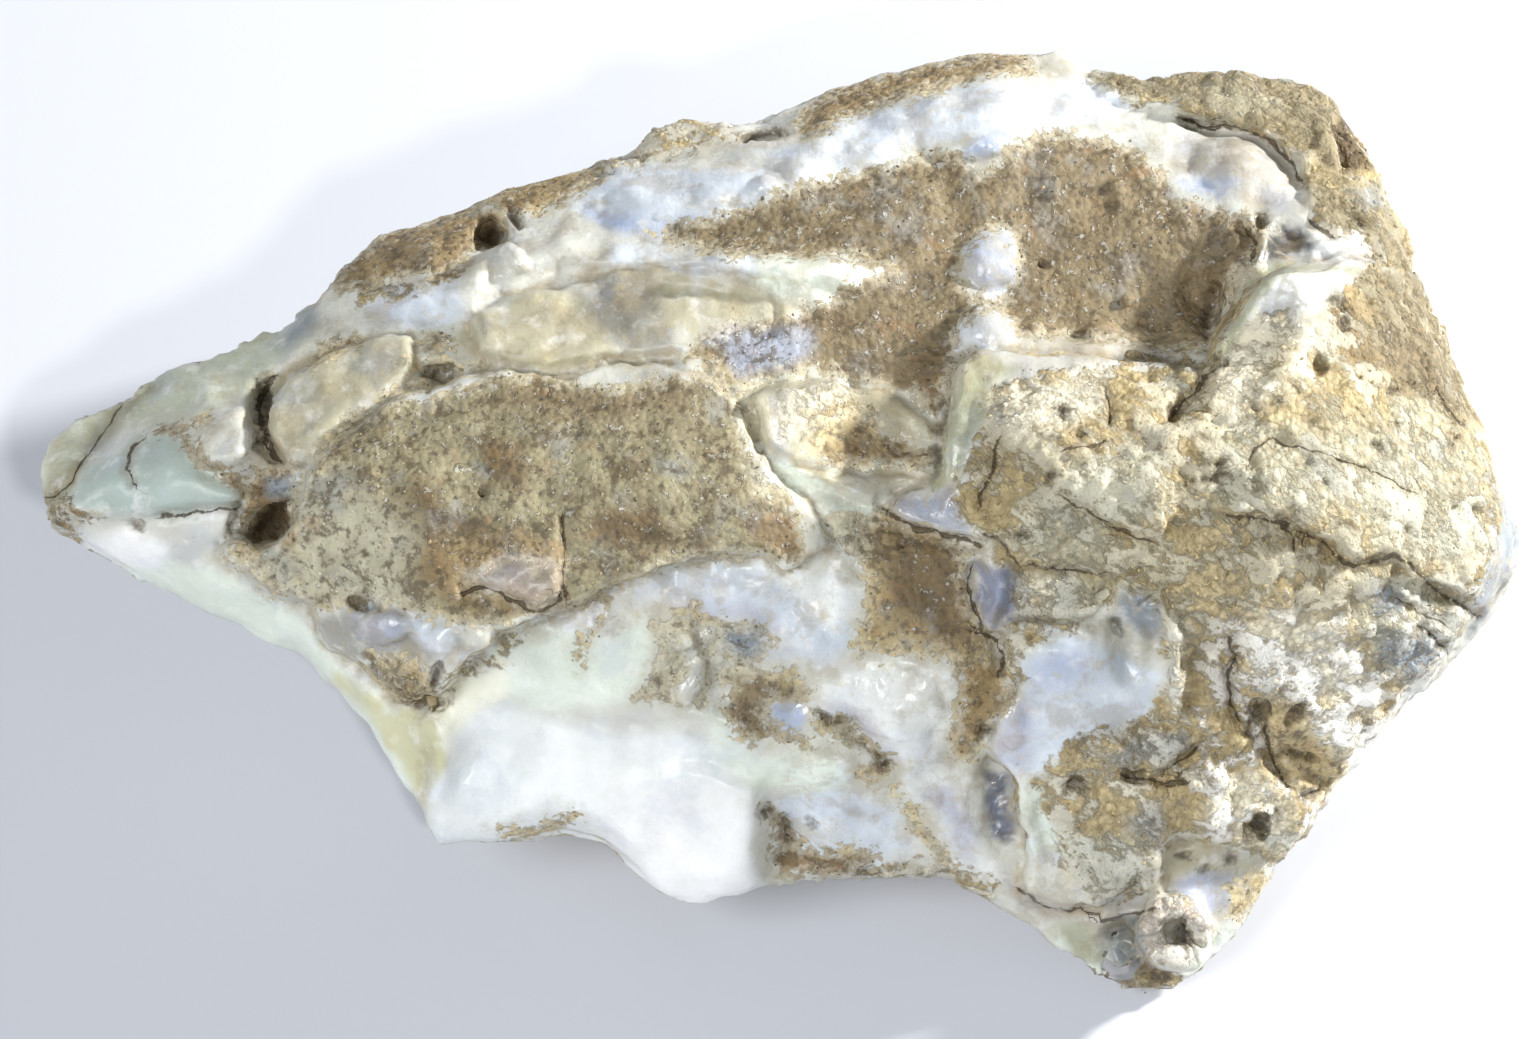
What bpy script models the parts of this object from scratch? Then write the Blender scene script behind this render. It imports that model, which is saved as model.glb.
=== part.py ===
# Rough opal: one broken, weathered piece of opal with sandy plates on its upper face.
#
# The upper face is drawn the way it is seen from in front, VIEW_ANGLE above the table.
# "Across" and "up" are millimetres on that drawing, and every height is millimetres above the table.
# stand() turns a place on the drawing and a height into a point of the stone.

import math

import bmesh
import bpy
import numpy as np
from mathutils import Vector, noise

MM = 0.001
VIEW_ANGLE = math.radians(65)
DRAWING_CENTRE = np.array([2.0, 2.0])
BODY_MIDDLE = np.array([1.0, -2.0, 12.0])  # in plan and height, before the stone is centred on its origin

BALL_SUBDIVISIONS = 8
BALL_TRIANGLES = 20 * 4 ** (BALL_SUBDIVISIONS - 1)
FINAL_TRIANGLES = 9900

SHOULDER = 1.7  # width of the rounding between the upper face and the sides
WARP = (0.35, 2.2)  # how far, and at what spacing, every drawn line wanders
CRUMBLE = (0.3, 2.6)  # height and spacing of the small lumps all over

# The stone's outline, clockwise from its thin end: across, up, and the height of the rim there.
OUTLINE = [
    (-36.4, 2.4, 10.5), (-35.9, 3.9, 11.0), (-34.4, 5.1, 11.5), (-31.7, 6.2, 12.5),
    (-29.3, 7.9, 13.0), (-26.7, 8.5, 13.5), (-24.4, 9.5, 14.0), (-22.3, 10.9, 14.5),
    (-21.4, 12.4, 14.5), (-19.2, 14.3, 15.0), (-17.0, 15.0, 15.0), (-15.0, 15.6, 15.5),
    (-13.2, 16.7, 15.5), (-10.8, 17.3, 15.5), (-8.5, 17.8, 15.5), (-6.5, 18.8, 15.5),
    (-5.5, 20.0, 16.0), (-3.9, 20.3, 16.0), (-2.2, 19.9, 16.0), (0.0, 20.1, 16.0),
    (2.4, 21.3, 16.0), (5.0, 22.2, 16.5), (8.2, 23.1, 17.0), (11.5, 23.6, 17.0),
    (14.3, 23.6, 17.0), (15.1, 23.9, 17.0), (15.9, 23.6, 17.0), (16.7, 22.8, 17.0),
    (18.5, 22.4, 17.0), (22.0, 22.5, 17.0), (23.7, 22.8, 17.0), (25.5, 22.4, 16.5),
    (28.0, 22.0, 16.0), (29.2, 21.1, 16.0), (30.2, 19.3, 16.0), (31.3, 17.5, 16.0),
    (31.7, 16.2, 16.0), (32.9, 14.2, 15.5), (33.2, 12.4, 15.5), (33.8, 10.4, 15.0),
    (34.7, 8.8, 15.0), (35.2, 6.9, 14.5), (36.2, 4.8, 14.0), (36.9, 2.6, 13.5),
    (37.5, 0.6, 13.0), (38.0, -0.9, 12.5), (37.7, -2.4, 12.0), (36.6, -4.2, 11.5),
    (34.6, -6.9, 10.0), (32.4, -9.4, 8.5), (30.2, -11.9, 7.0), (28.2, -14.4, 5.0),
    (27.7, -15.8, 4.2), (26.1, -17.5, 3.0), (25.1, -19.3, 2.0), (24.5, -20.4, 1.5),
    (22.7, -22.4, 1.0), (20.9, -23.7, 0.8), (19.2, -23.9, 0.8), (17.4, -23.5, 1.0),
    (15.8, -22.2, 1.5), (13.4, -20.4, 2.5), (11.3, -18.9, 3.5), (9.0, -17.8, 4.2),
    (7.0, -18.0, 4.5), (4.0, -18.0, 4.8), (0.6, -18.2, 4.8), (-0.9, -18.8, 4.6),
    (-3.0, -19.1, 4.5), (-4.6, -18.9, 4.5), (-6.2, -17.5, 4.8), (-7.7, -16.2, 5.0),
    (-9.8, -15.7, 5.2), (-12.4, -16.1, 5.2), (-15.0, -16.2, 5.0), (-16.2, -16.4, 5.0),
    (-16.7, -15.3, 6.5), (-16.9, -14.3, 7.0), (-17.6, -13.5, 7.0), (-18.6, -11.8, 7.5),
    (-19.6, -10.2, 7.5), (-20.9, -8.8, 8.0), (-22.4, -7.3, 8.0), (-23.3, -6.4, 8.0),
    (-24.6, -6.0, 8.5), (-26.2, -5.1, 8.5), (-27.8, -4.6, 9.0), (-29.6, -3.4, 9.0),
    (-32.2, -2.1, 9.5), (-33.5, -1.4, 9.5), (-34.3, -0.7, 10.0), (-35.5, -0.4, 10.0),
    (-36.2, 0.8, 10.0),
]

# Heights of the face before its plates, ribs and pits: across, up, height.
GROUND = [
    # thin end
    (-36.0, 2.5, 11.5), (-34.0, 1.0, 12.5), (-30.0, 2.5, 15.0), (-31.0, -1.0, 12.0),
    (-33.0, 5.0, 12.0), (-26.5, 7.5, 14.5), (-22.5, 10.2, 15.5), (-27.0, 4.5, 16.0),
    (-24.5, 0.0, 15.5), (-27.0, -2.5, 12.0),
    # pale band under the front plate
    (-25.0, -4.5, 10.5), (-21.0, -8.0, 9.5), (-18.5, -11.2, 8.5), (-17.2, -13.6, 8.0),
    # under the front plate
    (-20.0, 0.0, 18.0), (-15.0, 3.0, 19.5), (-16.0, -6.0, 16.0), (-10.0, 0.0, 20.0),
    (-5.0, 3.0, 21.0), (0.0, 0.0, 20.5),
    # far left shoulder
    (-18.0, 10.0, 17.5), (-18.0, 13.5, 16.5), (-12.0, 13.0, 18.5), (-10.0, 9.0, 19.5),
    (-8.0, 16.5, 17.5), (-2.0, 14.0, 20.0), (-2.0, 18.7, 17.8), (3.0, 17.0, 19.8),
    (5.0, 21.3, 17.8), (12.0, 20.5, 19.8), (14.0, 23.0, 18.0),
    # long sandy hollow
    (6.0, 8.0, 20.0), (12.0, 15.0, 19.6), (18.0, 12.0, 19.2), (20.5, 9.0, 18.6),
    (16.0, 10.0, 19.0), (22.0, 16.0, 19.4), (8.0, 4.0, 19.3),
    # right block
    (12.0, 4.0, 22.6), (16.0, 5.0, 22.8), (22.0, 4.0, 23.0), (26.0, 8.0, 22.6),
    (28.0, 12.5, 21.5), (30.0, 17.5, 18.8), (27.0, 21.0, 17.5), (32.5, 12.0, 18.4),
    (33.5, 6.0, 18.6), (31.0, 3.0, 20.6), (36.0, 0.0, 16.0), (30.0, -3.0, 18.4),
    (34.0, -5.5, 14.0), (26.0, -6.0, 16.8), (30.0, -9.5, 11.8), (24.0, -12.0, 11.4),
    (27.0, -14.0, 8.6), (20.0, -4.0, 18.6),
    # pale opal of the near side
    (8.0, -3.0, 18.8), (14.0, -3.0, 19.2), (3.0, -5.0, 17.4), (-3.0, -6.0, 16.8),
    (-10.0, -7.5, 15.2), (-14.0, -10.0, 12.6), (-14.0, -14.5, 8.0), (-8.0, -12.0, 11.4),
    (-3.0, -13.0, 10.6), (-3.0, -17.5, 6.2), (3.0, -10.0, 13.4), (3.0, -15.0, 8.8),
    (3.0, -17.3, 6.4), (8.0, -9.0, 14.2), (9.0, -14.0, 9.6), (10.0, -17.2, 6.4),
    # lower corner
    (15.0, -8.0, 14.6), (17.0, -14.0, 8.6), (14.0, -18.5, 5.0), (17.0, -21.5, 2.6),
    (20.0, -23.0, 1.8), (21.0, -18.0, 5.6), (23.0, -20.0, 3.4), (25.0, -17.5, 5.2),
]

# Plates: an outline, the width of its edge, and how far it stands up at two places.
# Between the two places, and beyond them, the lift runs evenly.
PLATES = {
    "front_plate": {
        "outline": [
            (-22.6, 2.4), (-23.1, 0.2), (-23.8, -0.7), (-24.8, -1.3), (-26.0, -0.8), (-26.9, -1.5),
            (-26.5, -2.3), (-25.2, -2.8), (-24.6, -3.5), (-23.7, -4.0), (-22.5, -3.9), (-22.1, -5.4),
            (-21.6, -6.2), (-20.7, -6.7), (-19.2, -8.1), (-17.6, -9.2), (-16.2, -8.9), (-15.0, -7.6),
            (-14.2, -6.6), (-12.8, -5.5), (-10.2, -4.7), (-9.1, -4.3), (-7.2, -3.2), (-4.7, -2.3),
            (-1.8, -1.8), (0.2, -1.6), (1.4, -2.5), (2.4, -1.9), (3.6, -1.2), (2.5, 0.6), (0.8, 2.2),
            (-0.2, 3.4), (-0.7, 5.4), (-2.3, 7.0), (-5.5, 7.9), (-8.0, 7.6), (-9.5, 7.0), (-13.0, 7.6),
            (-15.0, 7.1), (-16.5, 6.3), (-18.0, 6.4), (-20.4, 4.8),
        ],
        "edge": 0.75,
        "lift": [((-19.0, -6.5), 2.6), ((0.0, 5.0), 0.35)],
    },
    "cream_lump": {
        "outline": [
            (-24.8, 5.0), (-23.8, 7.1), (-21.6, 8.3), (-19.5, 8.9), (-17.6, 9.2), (-17.2, 7.6),
            (-18.3, 6.4), (-20.2, 5.0), (-22.0, 3.0), (-23.4, 2.7), (-24.2, 3.4),
        ],
        "edge": 0.90,
        "lift": [((-24.0, 5.0), 1.3), ((-18.0, 8.0), 0.5)],
    },
    "cream_plate": {
        "outline": [
            (-14.4, 10.2), (-12.8, 11.2), (-10.0, 11.6), (-7.0, 12.4), (-3.0, 12.4), (0.5, 11.6),
            (0.5, 9.5), (-2.4, 8.4), (-5.0, 8.4), (-8.0, 8.2), (-10.5, 7.6), (-14.0, 8.3),
        ],
        "edge": 0.90,
        "lift": [((-10.0, 7.5), 0.9), ((-6.0, 12.5), 0.1)],
    },
    "wedge_plate": {
        "outline": [
            (-0.4, 6.2), (1.5, 7.0), (3.2, 7.1), (4.8, 6.4), (6.8, 6.1), (8.0, 5.4), (8.9, 4.3),
            (8.3, 2.5), (5.6, 2.6), (3.6, 2.5), (2.0, 2.8), (0.2, 3.8),
        ],
        "edge": 0.60,
        "lift": [((1.0, 6.5), 0.9), ((7.5, 3.0), 0.5)],
    },
    "white_flake": {
        "outline": [(0.0, 3.4), (2.4, 2.6), (3.6, 2.5), (8.0, 2.6), (8.2, 2.0), (6.2, 1.5), (5.6, 0.9), (3.2, 1.8)],
        "edge": 0.50,
        "lift": [((2.0, 2.4), 0.9), ((7.0, 2.0), 0.6)],
    },
    "right_block": {
        "outline": [
            (8.3, 2.2), (9.0, 4.2), (9.5, 6.2), (10.0, 7.8), (11.2, 8.3), (14.0, 8.2), (18.0, 8.0),
            (21.6, 7.5), (22.4, 7.6), (22.6, 9.0), (23.5, 10.2), (24.2, 11.4), (25.4, 12.1),
            (27.6, 12.6), (29.3, 13.1), (31.2, 12.7), (33.6, 12.0), (38.0, 4.0), (39.0, -2.0),
            (30.0, -13.0), (27.5, -12.8), (26.0, -12.2), (25.0, -10.8), (24.2, -10.0), (22.0, -10.5),
            (20.6, -9.5), (20.4, -6.0), (19.6, -3.6), (17.2, -2.6), (12.8, -2.4), (12.0, -1.4),
            (11.5, -0.7), (10.8, -1.2), (9.0, -0.9), (7.4, -0.3), (6.2, 0.3), (6.9, 1.2), (8.0, 1.7),
        ],
        "edge": 0.70,
        "lift": [((20.0, 9.0), 2.0), ((18.0, -8.0), 0.7)],
    },
    "far_rim": {
        "outline": [
            (16.5, 24.0), (17.2, 21.4), (19.0, 21.0), (21.2, 20.4), (22.4, 20.0), (24.6, 19.7),
            (26.1, 18.9), (27.1, 17.6), (27.5, 16.0), (28.2, 14.9), (29.5, 15.4), (33.0, 14.0), (33.0, 24.0),
        ],
        "edge": 0.60,
        "lift": [((24.0, 20.5), 0.9), ((32.0, 15.0), 0.4)],
    },
    "dome_block": {
        "outline": [
            (12.3, -5.1), (12.1, -6.6), (12.1, -7.6), (12.9, -7.8), (12.8, -8.6), (12.2, -9.6),
            (11.4, -10.8), (11.6, -12.0), (12.5, -12.8), (12.8, -14.2), (13.3, -16.0), (13.4, -17.2),
            (13.2, -19.0), (15.0, -19.7), (17.2, -19.3), (18.6, -18.8), (20.2, -18.8), (20.1, -16.2),
            (21.0, -15.8), (24.0, -16.2), (26.2, -17.0), (28.5, -14.0), (26.0, -11.5), (24.0, -10.2),
            (21.0, -9.8), (20.8, -6.0), (19.6, -3.4), (17.6, -3.2), (16.6, -4.8),
        ],
        "edge": 0.75,
        "lift": [((12.5, -14.0), 1.7), ((25.0, -12.0), 0.5)],
    },
    "crumbly_patch": {
        "outline": [
            (13.9, -13.0), (14.6, -11.8), (16.0, -11.4), (17.2, -10.6), (18.6, -11.0), (20.0, -12.4),
            (22.2, -11.6), (23.4, -13.4), (22.6, -15.2), (20.4, -15.6), (19.9, -17.4), (18.4, -18.4),
            (15.8, -18.3), (14.7, -16.0), (14.6, -14.4),
        ],
        "edge": 0.80,
        "lift": [((15.0, -13.0), 0.6), ((20.0, -17.0), 0.8)],
    },
    "cream_scale": {
        "outline": [
            (14.4, 1.3), (15.8, 0.6), (17.1, -0.1), (19.4, -1.0), (20.0, 0.4), (19.8, 2.6), (17.6, 3.4),
            (15.6, 3.2), (14.3, 2.4),
        ],
        "edge": 0.50,
        "lift": [((17.0, 0.0), 0.7), ((16.5, 3.2), 0.15)],
    },
    "striped_slab": {
        "outline": [
            (23.4, 0.4), (25.5, 0.0), (26.4, -0.5), (27.8, -1.0), (29.3, -2.3), (31.3, -1.9), (33.0, -3.3),
            (37.0, -5.0), (39.5, -2.0), (37.5, 4.0), (33.0, 3.2), (27.5, 3.3), (24.9, 3.9), (24.0, 2.6),
        ],
        "edge": 0.50,
        "lift": [((29.0, -1.8), 0.7), ((30.0, 3.5), 0.2)],
    },
    "red_scale": {
        "outline": [
            (-14.4, -2.4), (-13.8, -3.4), (-12.5, -3.8), (-10.9, -4.5), (-9.9, -3.8), (-9.8, -1.6),
            (-11.2, -1.1), (-13.2, -1.5),
        ],
        "edge": 0.50,
        "lift": [((-11.0, -4.2), 0.6), ((-13.0, -1.2), 0.1)],
    },
    "white_lobe": {
        "outline": [
            (-0.1, -13.2), (0.1, -16.0), (0.0, -19.5), (-5.5, -20.0), (-9.0, -16.0), (-8.8, -14.6),
            (-7.4, -13.0), (-4.0, -12.2),
        ],
        "edge": 1.10,
        "lift": [((-1.0, -16.0), 1.1), ((-8.0, -14.0), 0.3)],
    },
    "thin_end_facet": {
        "outline": [
            (-34.9, 0.3), (-33.9, 1.9), (-32.4, 3.7), (-30.2, 5.3), (-27.6, 6.0), (-25.6, 5.6),
            (-26.0, 0.7), (-28.6, 0.4), (-31.4, 0.0), (-33.4, -0.2),
        ],
        "edge": 0.80,
        "lift": [((-30.0, 0.5), 0.9), ((-30.0, 5.5), 0.5)],
    },
    "left_lump": {
        "outline": [
            (-28.4, 3.4), (-27.8, 5.0), (-26.2, 6.0), (-25.2, 5.6), (-25.2, 4.6), (-24.4, 3.0),
            (-25.6, 2.7), (-27.4, 2.9),
        ],
        "edge": 0.80,
        "lift": [((-26.0, 4.5), 0.9), ((-27.0, 3.0), 0.9)],
    },
}

# Ribs stand up and grooves cut in: a line, its half width, and its height or depth.
RIBS = {
    "white_rib": ([(-18.5, 11.2), (-15.2, 11.6), (-13.4, 12.6), (-10.0, 13.5), (-6.0, 13.2), (-1.5, 12.9), (3.0, 12.4), (6.2, 11.9)], 0.85, 1.0),
    "pale_elbow": ([(-14.2, 13.0), (-14.0, 11.6), (-14.6, 10.2)], 0.6, 0.5),
    "blue_ridge": ([(-8.6, 15.8), (-4.0, 16.2), (0.5, 17.3), (4.0, 18.8), (7.5, 20.0), (11.0, 20.6), (15.0, 20.7)], 1.35, 1.3),
    "left_flake": ([(23.0, 15.0), (23.8, 14.0), (23.5, 12.8)], 0.28, 0.5),
    "curled_flake": ([(24.4, 15.2), (25.1, 14.2), (24.9, 13.0), (24.5, 12.4)], 0.28, 0.9),
    "green_lip": ([(30.4, 12.7), (28.0, 12.3), (26.0, 11.9), (24.6, 11.0), (23.9, 9.8), (23.0, 8.6), (22.7, 7.8)], 0.5, 0.7),
    "lip_foot": ([(9.0, 2.6), (9.5, 4.4), (10.0, 6.2), (10.5, 7.8)], 0.5, 0.6),
    "pale_band": ([(12.0, 8.8), (15.0, 8.7), (18.5, 8.3), (21.6, 7.9)], 0.45, 0.7),
    "violet_rib": ([(11.2, -1.6), (11.9, -2.8), (11.7, -4.0), (11.4, -5.2)], 0.5, 0.7),
    "dome_crest": ([(12.4, -5.1), (13.6, -5.2), (15.2, -5.2), (16.6, -5.8)], 0.3, 0.4),
    "cream_seam": ([(19.6, -3.6), (20.3, -5.0), (20.6, -6.6), (20.4, -8.4)], 0.5, 0.6),
    "shell_lip": ([(16.8, -20.6), (17.6, -20.0), (18.8, -19.7), (19.9, -19.5)], 0.35, 0.8),
    "near_crest": ([(-9.0, -9.1), (-5.0, -9.3), (-2.5, -10.1), (0.5, -11.4), (4.0, -12.4), (7.0, -14.3)], 1.1, 0.7),
    "olive_crest": ([(-17.2, -9.4), (-16.1, -10.3), (-15.7, -11.4), (-16.0, -12.9), (-16.7, -14.4)], 0.8, 0.9),
}
GROOVES = {
    "lump_crevice": ([(-24.3, 7.2), (-25.0, 5.9), (-25.0, 4.8), (-24.6, 3.8), (-24.0, 2.9)], 0.4, 1.6),
    "plate_foot": ([(-22.4, -4.6), (-21.9, -6.2), (-20.3, -7.4), (-18.6, -8.9), (-17.2, -9.4), (-15.8, -8.8), (-14.4, -7.3)], 0.45, 0.6),
    "tip_hollow": ([(-19.0, -7.9), (-17.8, -8.2), (-16.8, -7.9), (-16.9, -7.2)], 0.3, 0.9),
    "thin_end_seam": ([(-33.0, -0.2), (-30.0, 0.1), (-28.6, 0.4), (-26.2, 0.6)], 0.25, 0.6),
    "brown_groove": ([(-28.4, 2.9), (-27.2, 2.3), (-26.2, 1.9), (-24.6, 1.8), (-23.2, 1.6)], 0.4, 0.8),
    "far_cleft": ([(21.2, 20.2), (22.5, 19.8), (24.6, 19.4), (26.0, 18.6), (26.9, 17.3), (27.1, 16.4)], 0.35, 0.9),
    "rim_notch": ([(29.2, 19.8), (29.4, 18.6), (29.3, 17.5), (30.4, 17.4), (31.6, 17.3)], 0.35, 0.9),
    "flap_shadow": ([(6.2, 0.1), (7.5, -0.5), (9.0, -1.1), (10.7, -1.5)], 0.35, 0.8),
    "violet_crevice": ([(10.6, -2.2), (10.8, -3.4), (10.9, -4.6)], 0.3, 0.8),
    "dome_crevice": ([(12.0, -5.8), (12.0, -6.8), (11.8, -7.8)], 0.3, 1.0),
    "dome_valley": ([(11.2, -11.6), (11.6, -13.0), (12.0, -14.4), (12.2, -16.2)], 0.7, 1.1),
    "long_crack": ([(23.2, 0.2), (25.5, -0.2), (27.8, -1.2), (29.3, -2.5), (31.3, -2.1), (33.0, -3.5), (36.3, -4.9)], 0.22, 0.6),
    "ochre_crack": ([(18.1, -12.6), (19.1, -12.9), (20.2, -12.6), (21.1, -12.0), (22.0, -11.5)], 0.3, 0.9),
    "side_crack": ([(23.2, -5.8), (23.7, -6.7), (23.4, -7.6), (23.5, -9.2), (24.1, -10.2)], 0.25, 0.8),
    "brown_fissure": ([(24.3, -9.2), (25.3, -10.1), (25.3, -11.4), (26.0, -12.6), (26.4, -13.4)], 0.4, 1.2),
    "scale_crack": ([(14.8, 1.0), (15.8, 0.4), (17.1, -0.3), (19.4, -1.2)], 0.25, 0.6),
    "block_crack": ([(22.3, 7.7), (22.0, 6.8), (21.2, 6.0), (20.5, 5.0)], 0.25, 0.6),
    "gray_groove": ([(2.8, -9.6), (4.4, -10.4), (5.8, -11.4), (6.6, -12.3)], 0.4, 0.5),
}

# Mounds and hollows: centre, half width, half length, turn in degrees, and height.
MOUNDS = {
    "brown_shoulder": ((-17.0, 13.4), 3.0, 1.7, 15, 1.0),
    "far_hole": ((-13.4, 14.4), 1.2, 0.8, -35, -2.2),
    "rim_hole": ((0.2, 19.4), 1.3, 0.5, 5, -1.2),
    "milk_mound": ((24.2, 17.9), 2.9, 1.9, -10, 0.9),
    "gray_facet": ((26.4, 14.2), 1.6, 1.2, -20, -0.9),
    "lip_shade": ((22.4, 10.6), 1.5, 2.2, 20, -1.3),
    "blue_bead": ((11.3, 9.6), 1.8, 1.6, 10, 1.3),
    "blue_patch": ((11.7, 13.1), 1.6, 2.0, 0, 0.7),
    "bead_a": ((17.0, 9.5), 0.8, 0.6, 0, 0.5),
    "bead_b": ((18.3, 10.9), 0.7, 0.5, 0, 0.4),
    "bead_c": ((13.8, 9.8), 0.7, 0.5, 0, 0.4),
    "blue_dome": ((15.6, -8.8), 4.0, 4.2, 0, 1.1),
    "dome_hollow": ((18.0, -6.4), 1.0, 1.9, 15, -1.1),
    "gray_beads": ((18.6, -4.2), 1.5, 1.1, -20, 0.7),
    "plate_bead": ((-18.4, -5.2), 1.9, 1.2, 0, 0.9),
    "plate_hole": ((-19.7, -4.2), 0.9, 0.4, -15, -1.1),
    "brown_cavity": ((-24.8, -0.4), 1.4, 1.2, 20, -2.4),
    "cavity_slit": ((-26.0, 0.0), 0.5, 1.0, 0, -1.0),
    "cream_hole": ((-15.9, 7.3), 1.3, 0.6, 0, -1.2),
    "shell_bowl": ((18.4, -21.4), 1.9, 1.9, 0, -1.5),
    "corner_pit": ((24.9, -15.4), 0.9, 0.9, 0, -1.6),
    "slab_pit": ((25.2, -1.0), 1.1, 0.9, 0, -0.7),
    "brown_face": ((27.2, -12.0), 2.2, 1.6, -40, -0.9),
    "sand_bed": ((-2.6, -7.6), 2.9, 3.2, 20, -0.5),
    "white_grain_a": ((-3.7, -6.0), 0.8, 0.6, 0, 0.6),
    "white_grain_b": ((-3.6, -8.2), 0.8, 1.4, -25, 0.6),
    "recess": ((1.6, -15.8), 2.2, 2.4, 0, -0.8),
    "white_block": ((7.2, -9.8), 2.6, 3.2, 10, 0.6),
    "near_dish": ((-11.5, -11.5), 4.5, 3.6, 20, -0.9),
}

# The ring of a filled tube that weathers out of the lower corner.
RING = {"centre": (20.9, -20.6), "radius": 1.25, "wall": 0.55, "height": 1.5}
RING_HOLE = {"centre": (21.4, -20.9), "radius": 0.9, "depth": 1.3}

# The face that it rests on: its corners in plan, in mm.
REST_FACE = [
    (-19.0, -7.0), (-16.0, 3.5), (-6.0, 9.5), (8.0, 11.0), (20.0, 9.0), (26.0, 1.0),
    (24.5, -10.0), (22.5, -20.0), (19.0, -22.5), (12.0, -18.0), (-4.0, -16.0), (-13.0, -13.0),
]
REST_SHARE = 0.62  # how far out on the ball the resting face reaches
SIDE_BULGE = 1.2
SIDE_LUMPS = (1.5, 6.0)  # height and spacing of the lumps on the sides
FULL_SIDE = 8.0  # a rim this high has room under it for the whole bulge and its lumps

# Flat breaks on the hidden sides: the way each one faces, and its distance from the stone's middle in mm.
BREAKS = [
    ((0.80, -0.50, -0.35), 26.5),
    ((0.85, 0.40, -0.35), 29.5),
    ((0.25, 0.90, -0.30), 21.0),
    ((-0.40, 0.85, -0.35), 17.5),
    ((-0.70, 0.35, -0.62), 20.5),
    ((-0.62, -0.58, -0.52), 20.5),
    ((-0.05, -0.85, -0.52), 18.0),
]


def smooth(share):
    share = np.clip(share, 0.0, 1.0)
    return share * share * (3.0 - 2.0 * share)


def wander(points, reach, spacing, seed):
    """Moves each point of the drawing a little, the same way each time."""
    moved = points.copy()
    for row, (across, up) in enumerate(points):
        push = noise.noise_vector(Vector((across / spacing, up / spacing, seed)))
        moved[row] += (push.x * reach, push.y * reach)
    return moved


def distance_to_line(points, line):
    """Distance to a drawn line, and how far along it the nearest place is, from 0 to 1."""
    line = np.array(line, float)
    lengths = np.linalg.norm(np.diff(line, axis=0), axis=1)
    before = np.concatenate([[0.0], np.cumsum(lengths)])
    nearest = np.full(len(points), np.inf)
    along = np.zeros(len(points))
    for start, end, length, passed in zip(line, line[1:], lengths, before):
        share = np.clip((points - start) @ (end - start) / length**2, 0.0, 1.0)
        away = np.linalg.norm(points - start - share[:, None] * (end - start), axis=1)
        closer = away < nearest
        nearest[closer] = away[closer]
        along[closer] = (passed + share[closer] * length) / before[-1]
    return nearest, along


def depth_inside(points, outline):
    """Distance in from an outline, negative outside it."""
    ring = np.array(outline, float)
    nearest, _ = distance_to_line(points, np.vstack([ring, ring[:1]]))
    inside = np.zeros(len(points), bool)
    for (x0, y0), (x1, y1) in zip(ring, np.roll(ring, -1, axis=0)):
        crosses = (y0 > points[:, 1]) != (y1 > points[:, 1])
        reach = x0 + (points[:, 1] - y0) * (x1 - x0) / (y1 - y0 if y1 != y0 else 1.0)
        inside ^= crosses & (points[:, 0] < reach)
    return np.where(inside, nearest, -nearest)


def ground_height(points):
    """A smooth thin sheet through the GROUND heights."""
    spots = np.array(GROUND)
    count = len(spots)

    def bend(apart):
        return np.where(apart > 0, apart**2 * np.log(np.maximum(apart, 1e-9)), 0.0)

    apart = np.linalg.norm(spots[:, None, :2] - spots[None, :, :2], axis=2)
    plane = np.column_stack([np.ones(count), spots[:, :2]])
    system = np.block([[bend(apart), plane], [plane.T, np.zeros((3, 3))]])
    weights = np.linalg.solve(system, np.concatenate([spots[:, 2], np.zeros(3)]))
    away = np.linalg.norm(points[:, None, :] - spots[None, :, :2], axis=2)
    return bend(away) @ weights[:count] + weights[count] + points @ weights[count + 1:]


def plate_lift(points, plate):
    (first, first_lift), (second, second_lift) = plate["lift"]
    run = np.subtract(second, first)
    share = np.clip((points - first) @ run / (run @ run), -0.3, 1.3)
    lift = first_lift + (second_lift - first_lift) * share
    edge = plate["edge"]
    return lift * smooth(depth_inside(points, plate["outline"]) / edge + 0.5)


def line_lift(points, line, half_width, height):
    away, along = distance_to_line(points, line)
    taper = smooth(along / 0.12) * smooth((1.0 - along) / 0.12)
    return height * (0.35 + 0.65 * taper) * np.exp(-((away / half_width) ** 2))


def mound_lift(points, centre, half_width, half_length, turn, height):
    angle = math.radians(turn)
    out = points - centre
    wide = (out[:, 0] * math.cos(angle) + out[:, 1] * math.sin(angle)) / half_width
    long = (out[:, 1] * math.cos(angle) - out[:, 0] * math.sin(angle)) / half_length
    return height * np.clip(1.0 - wide**2 - long**2, 0.0, 1.0) ** 1.5


def ring_lift(points):
    away = np.linalg.norm(points - RING["centre"], axis=1)
    wall = RING["height"] * np.exp(-(((away - RING["radius"]) / RING["wall"]) ** 2))
    into = np.linalg.norm(points - RING_HOLE["centre"], axis=1) / RING_HOLE["radius"]
    return wall - RING_HOLE["depth"] * np.clip(1.0 - into**2, 0.0, 1.0)


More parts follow.
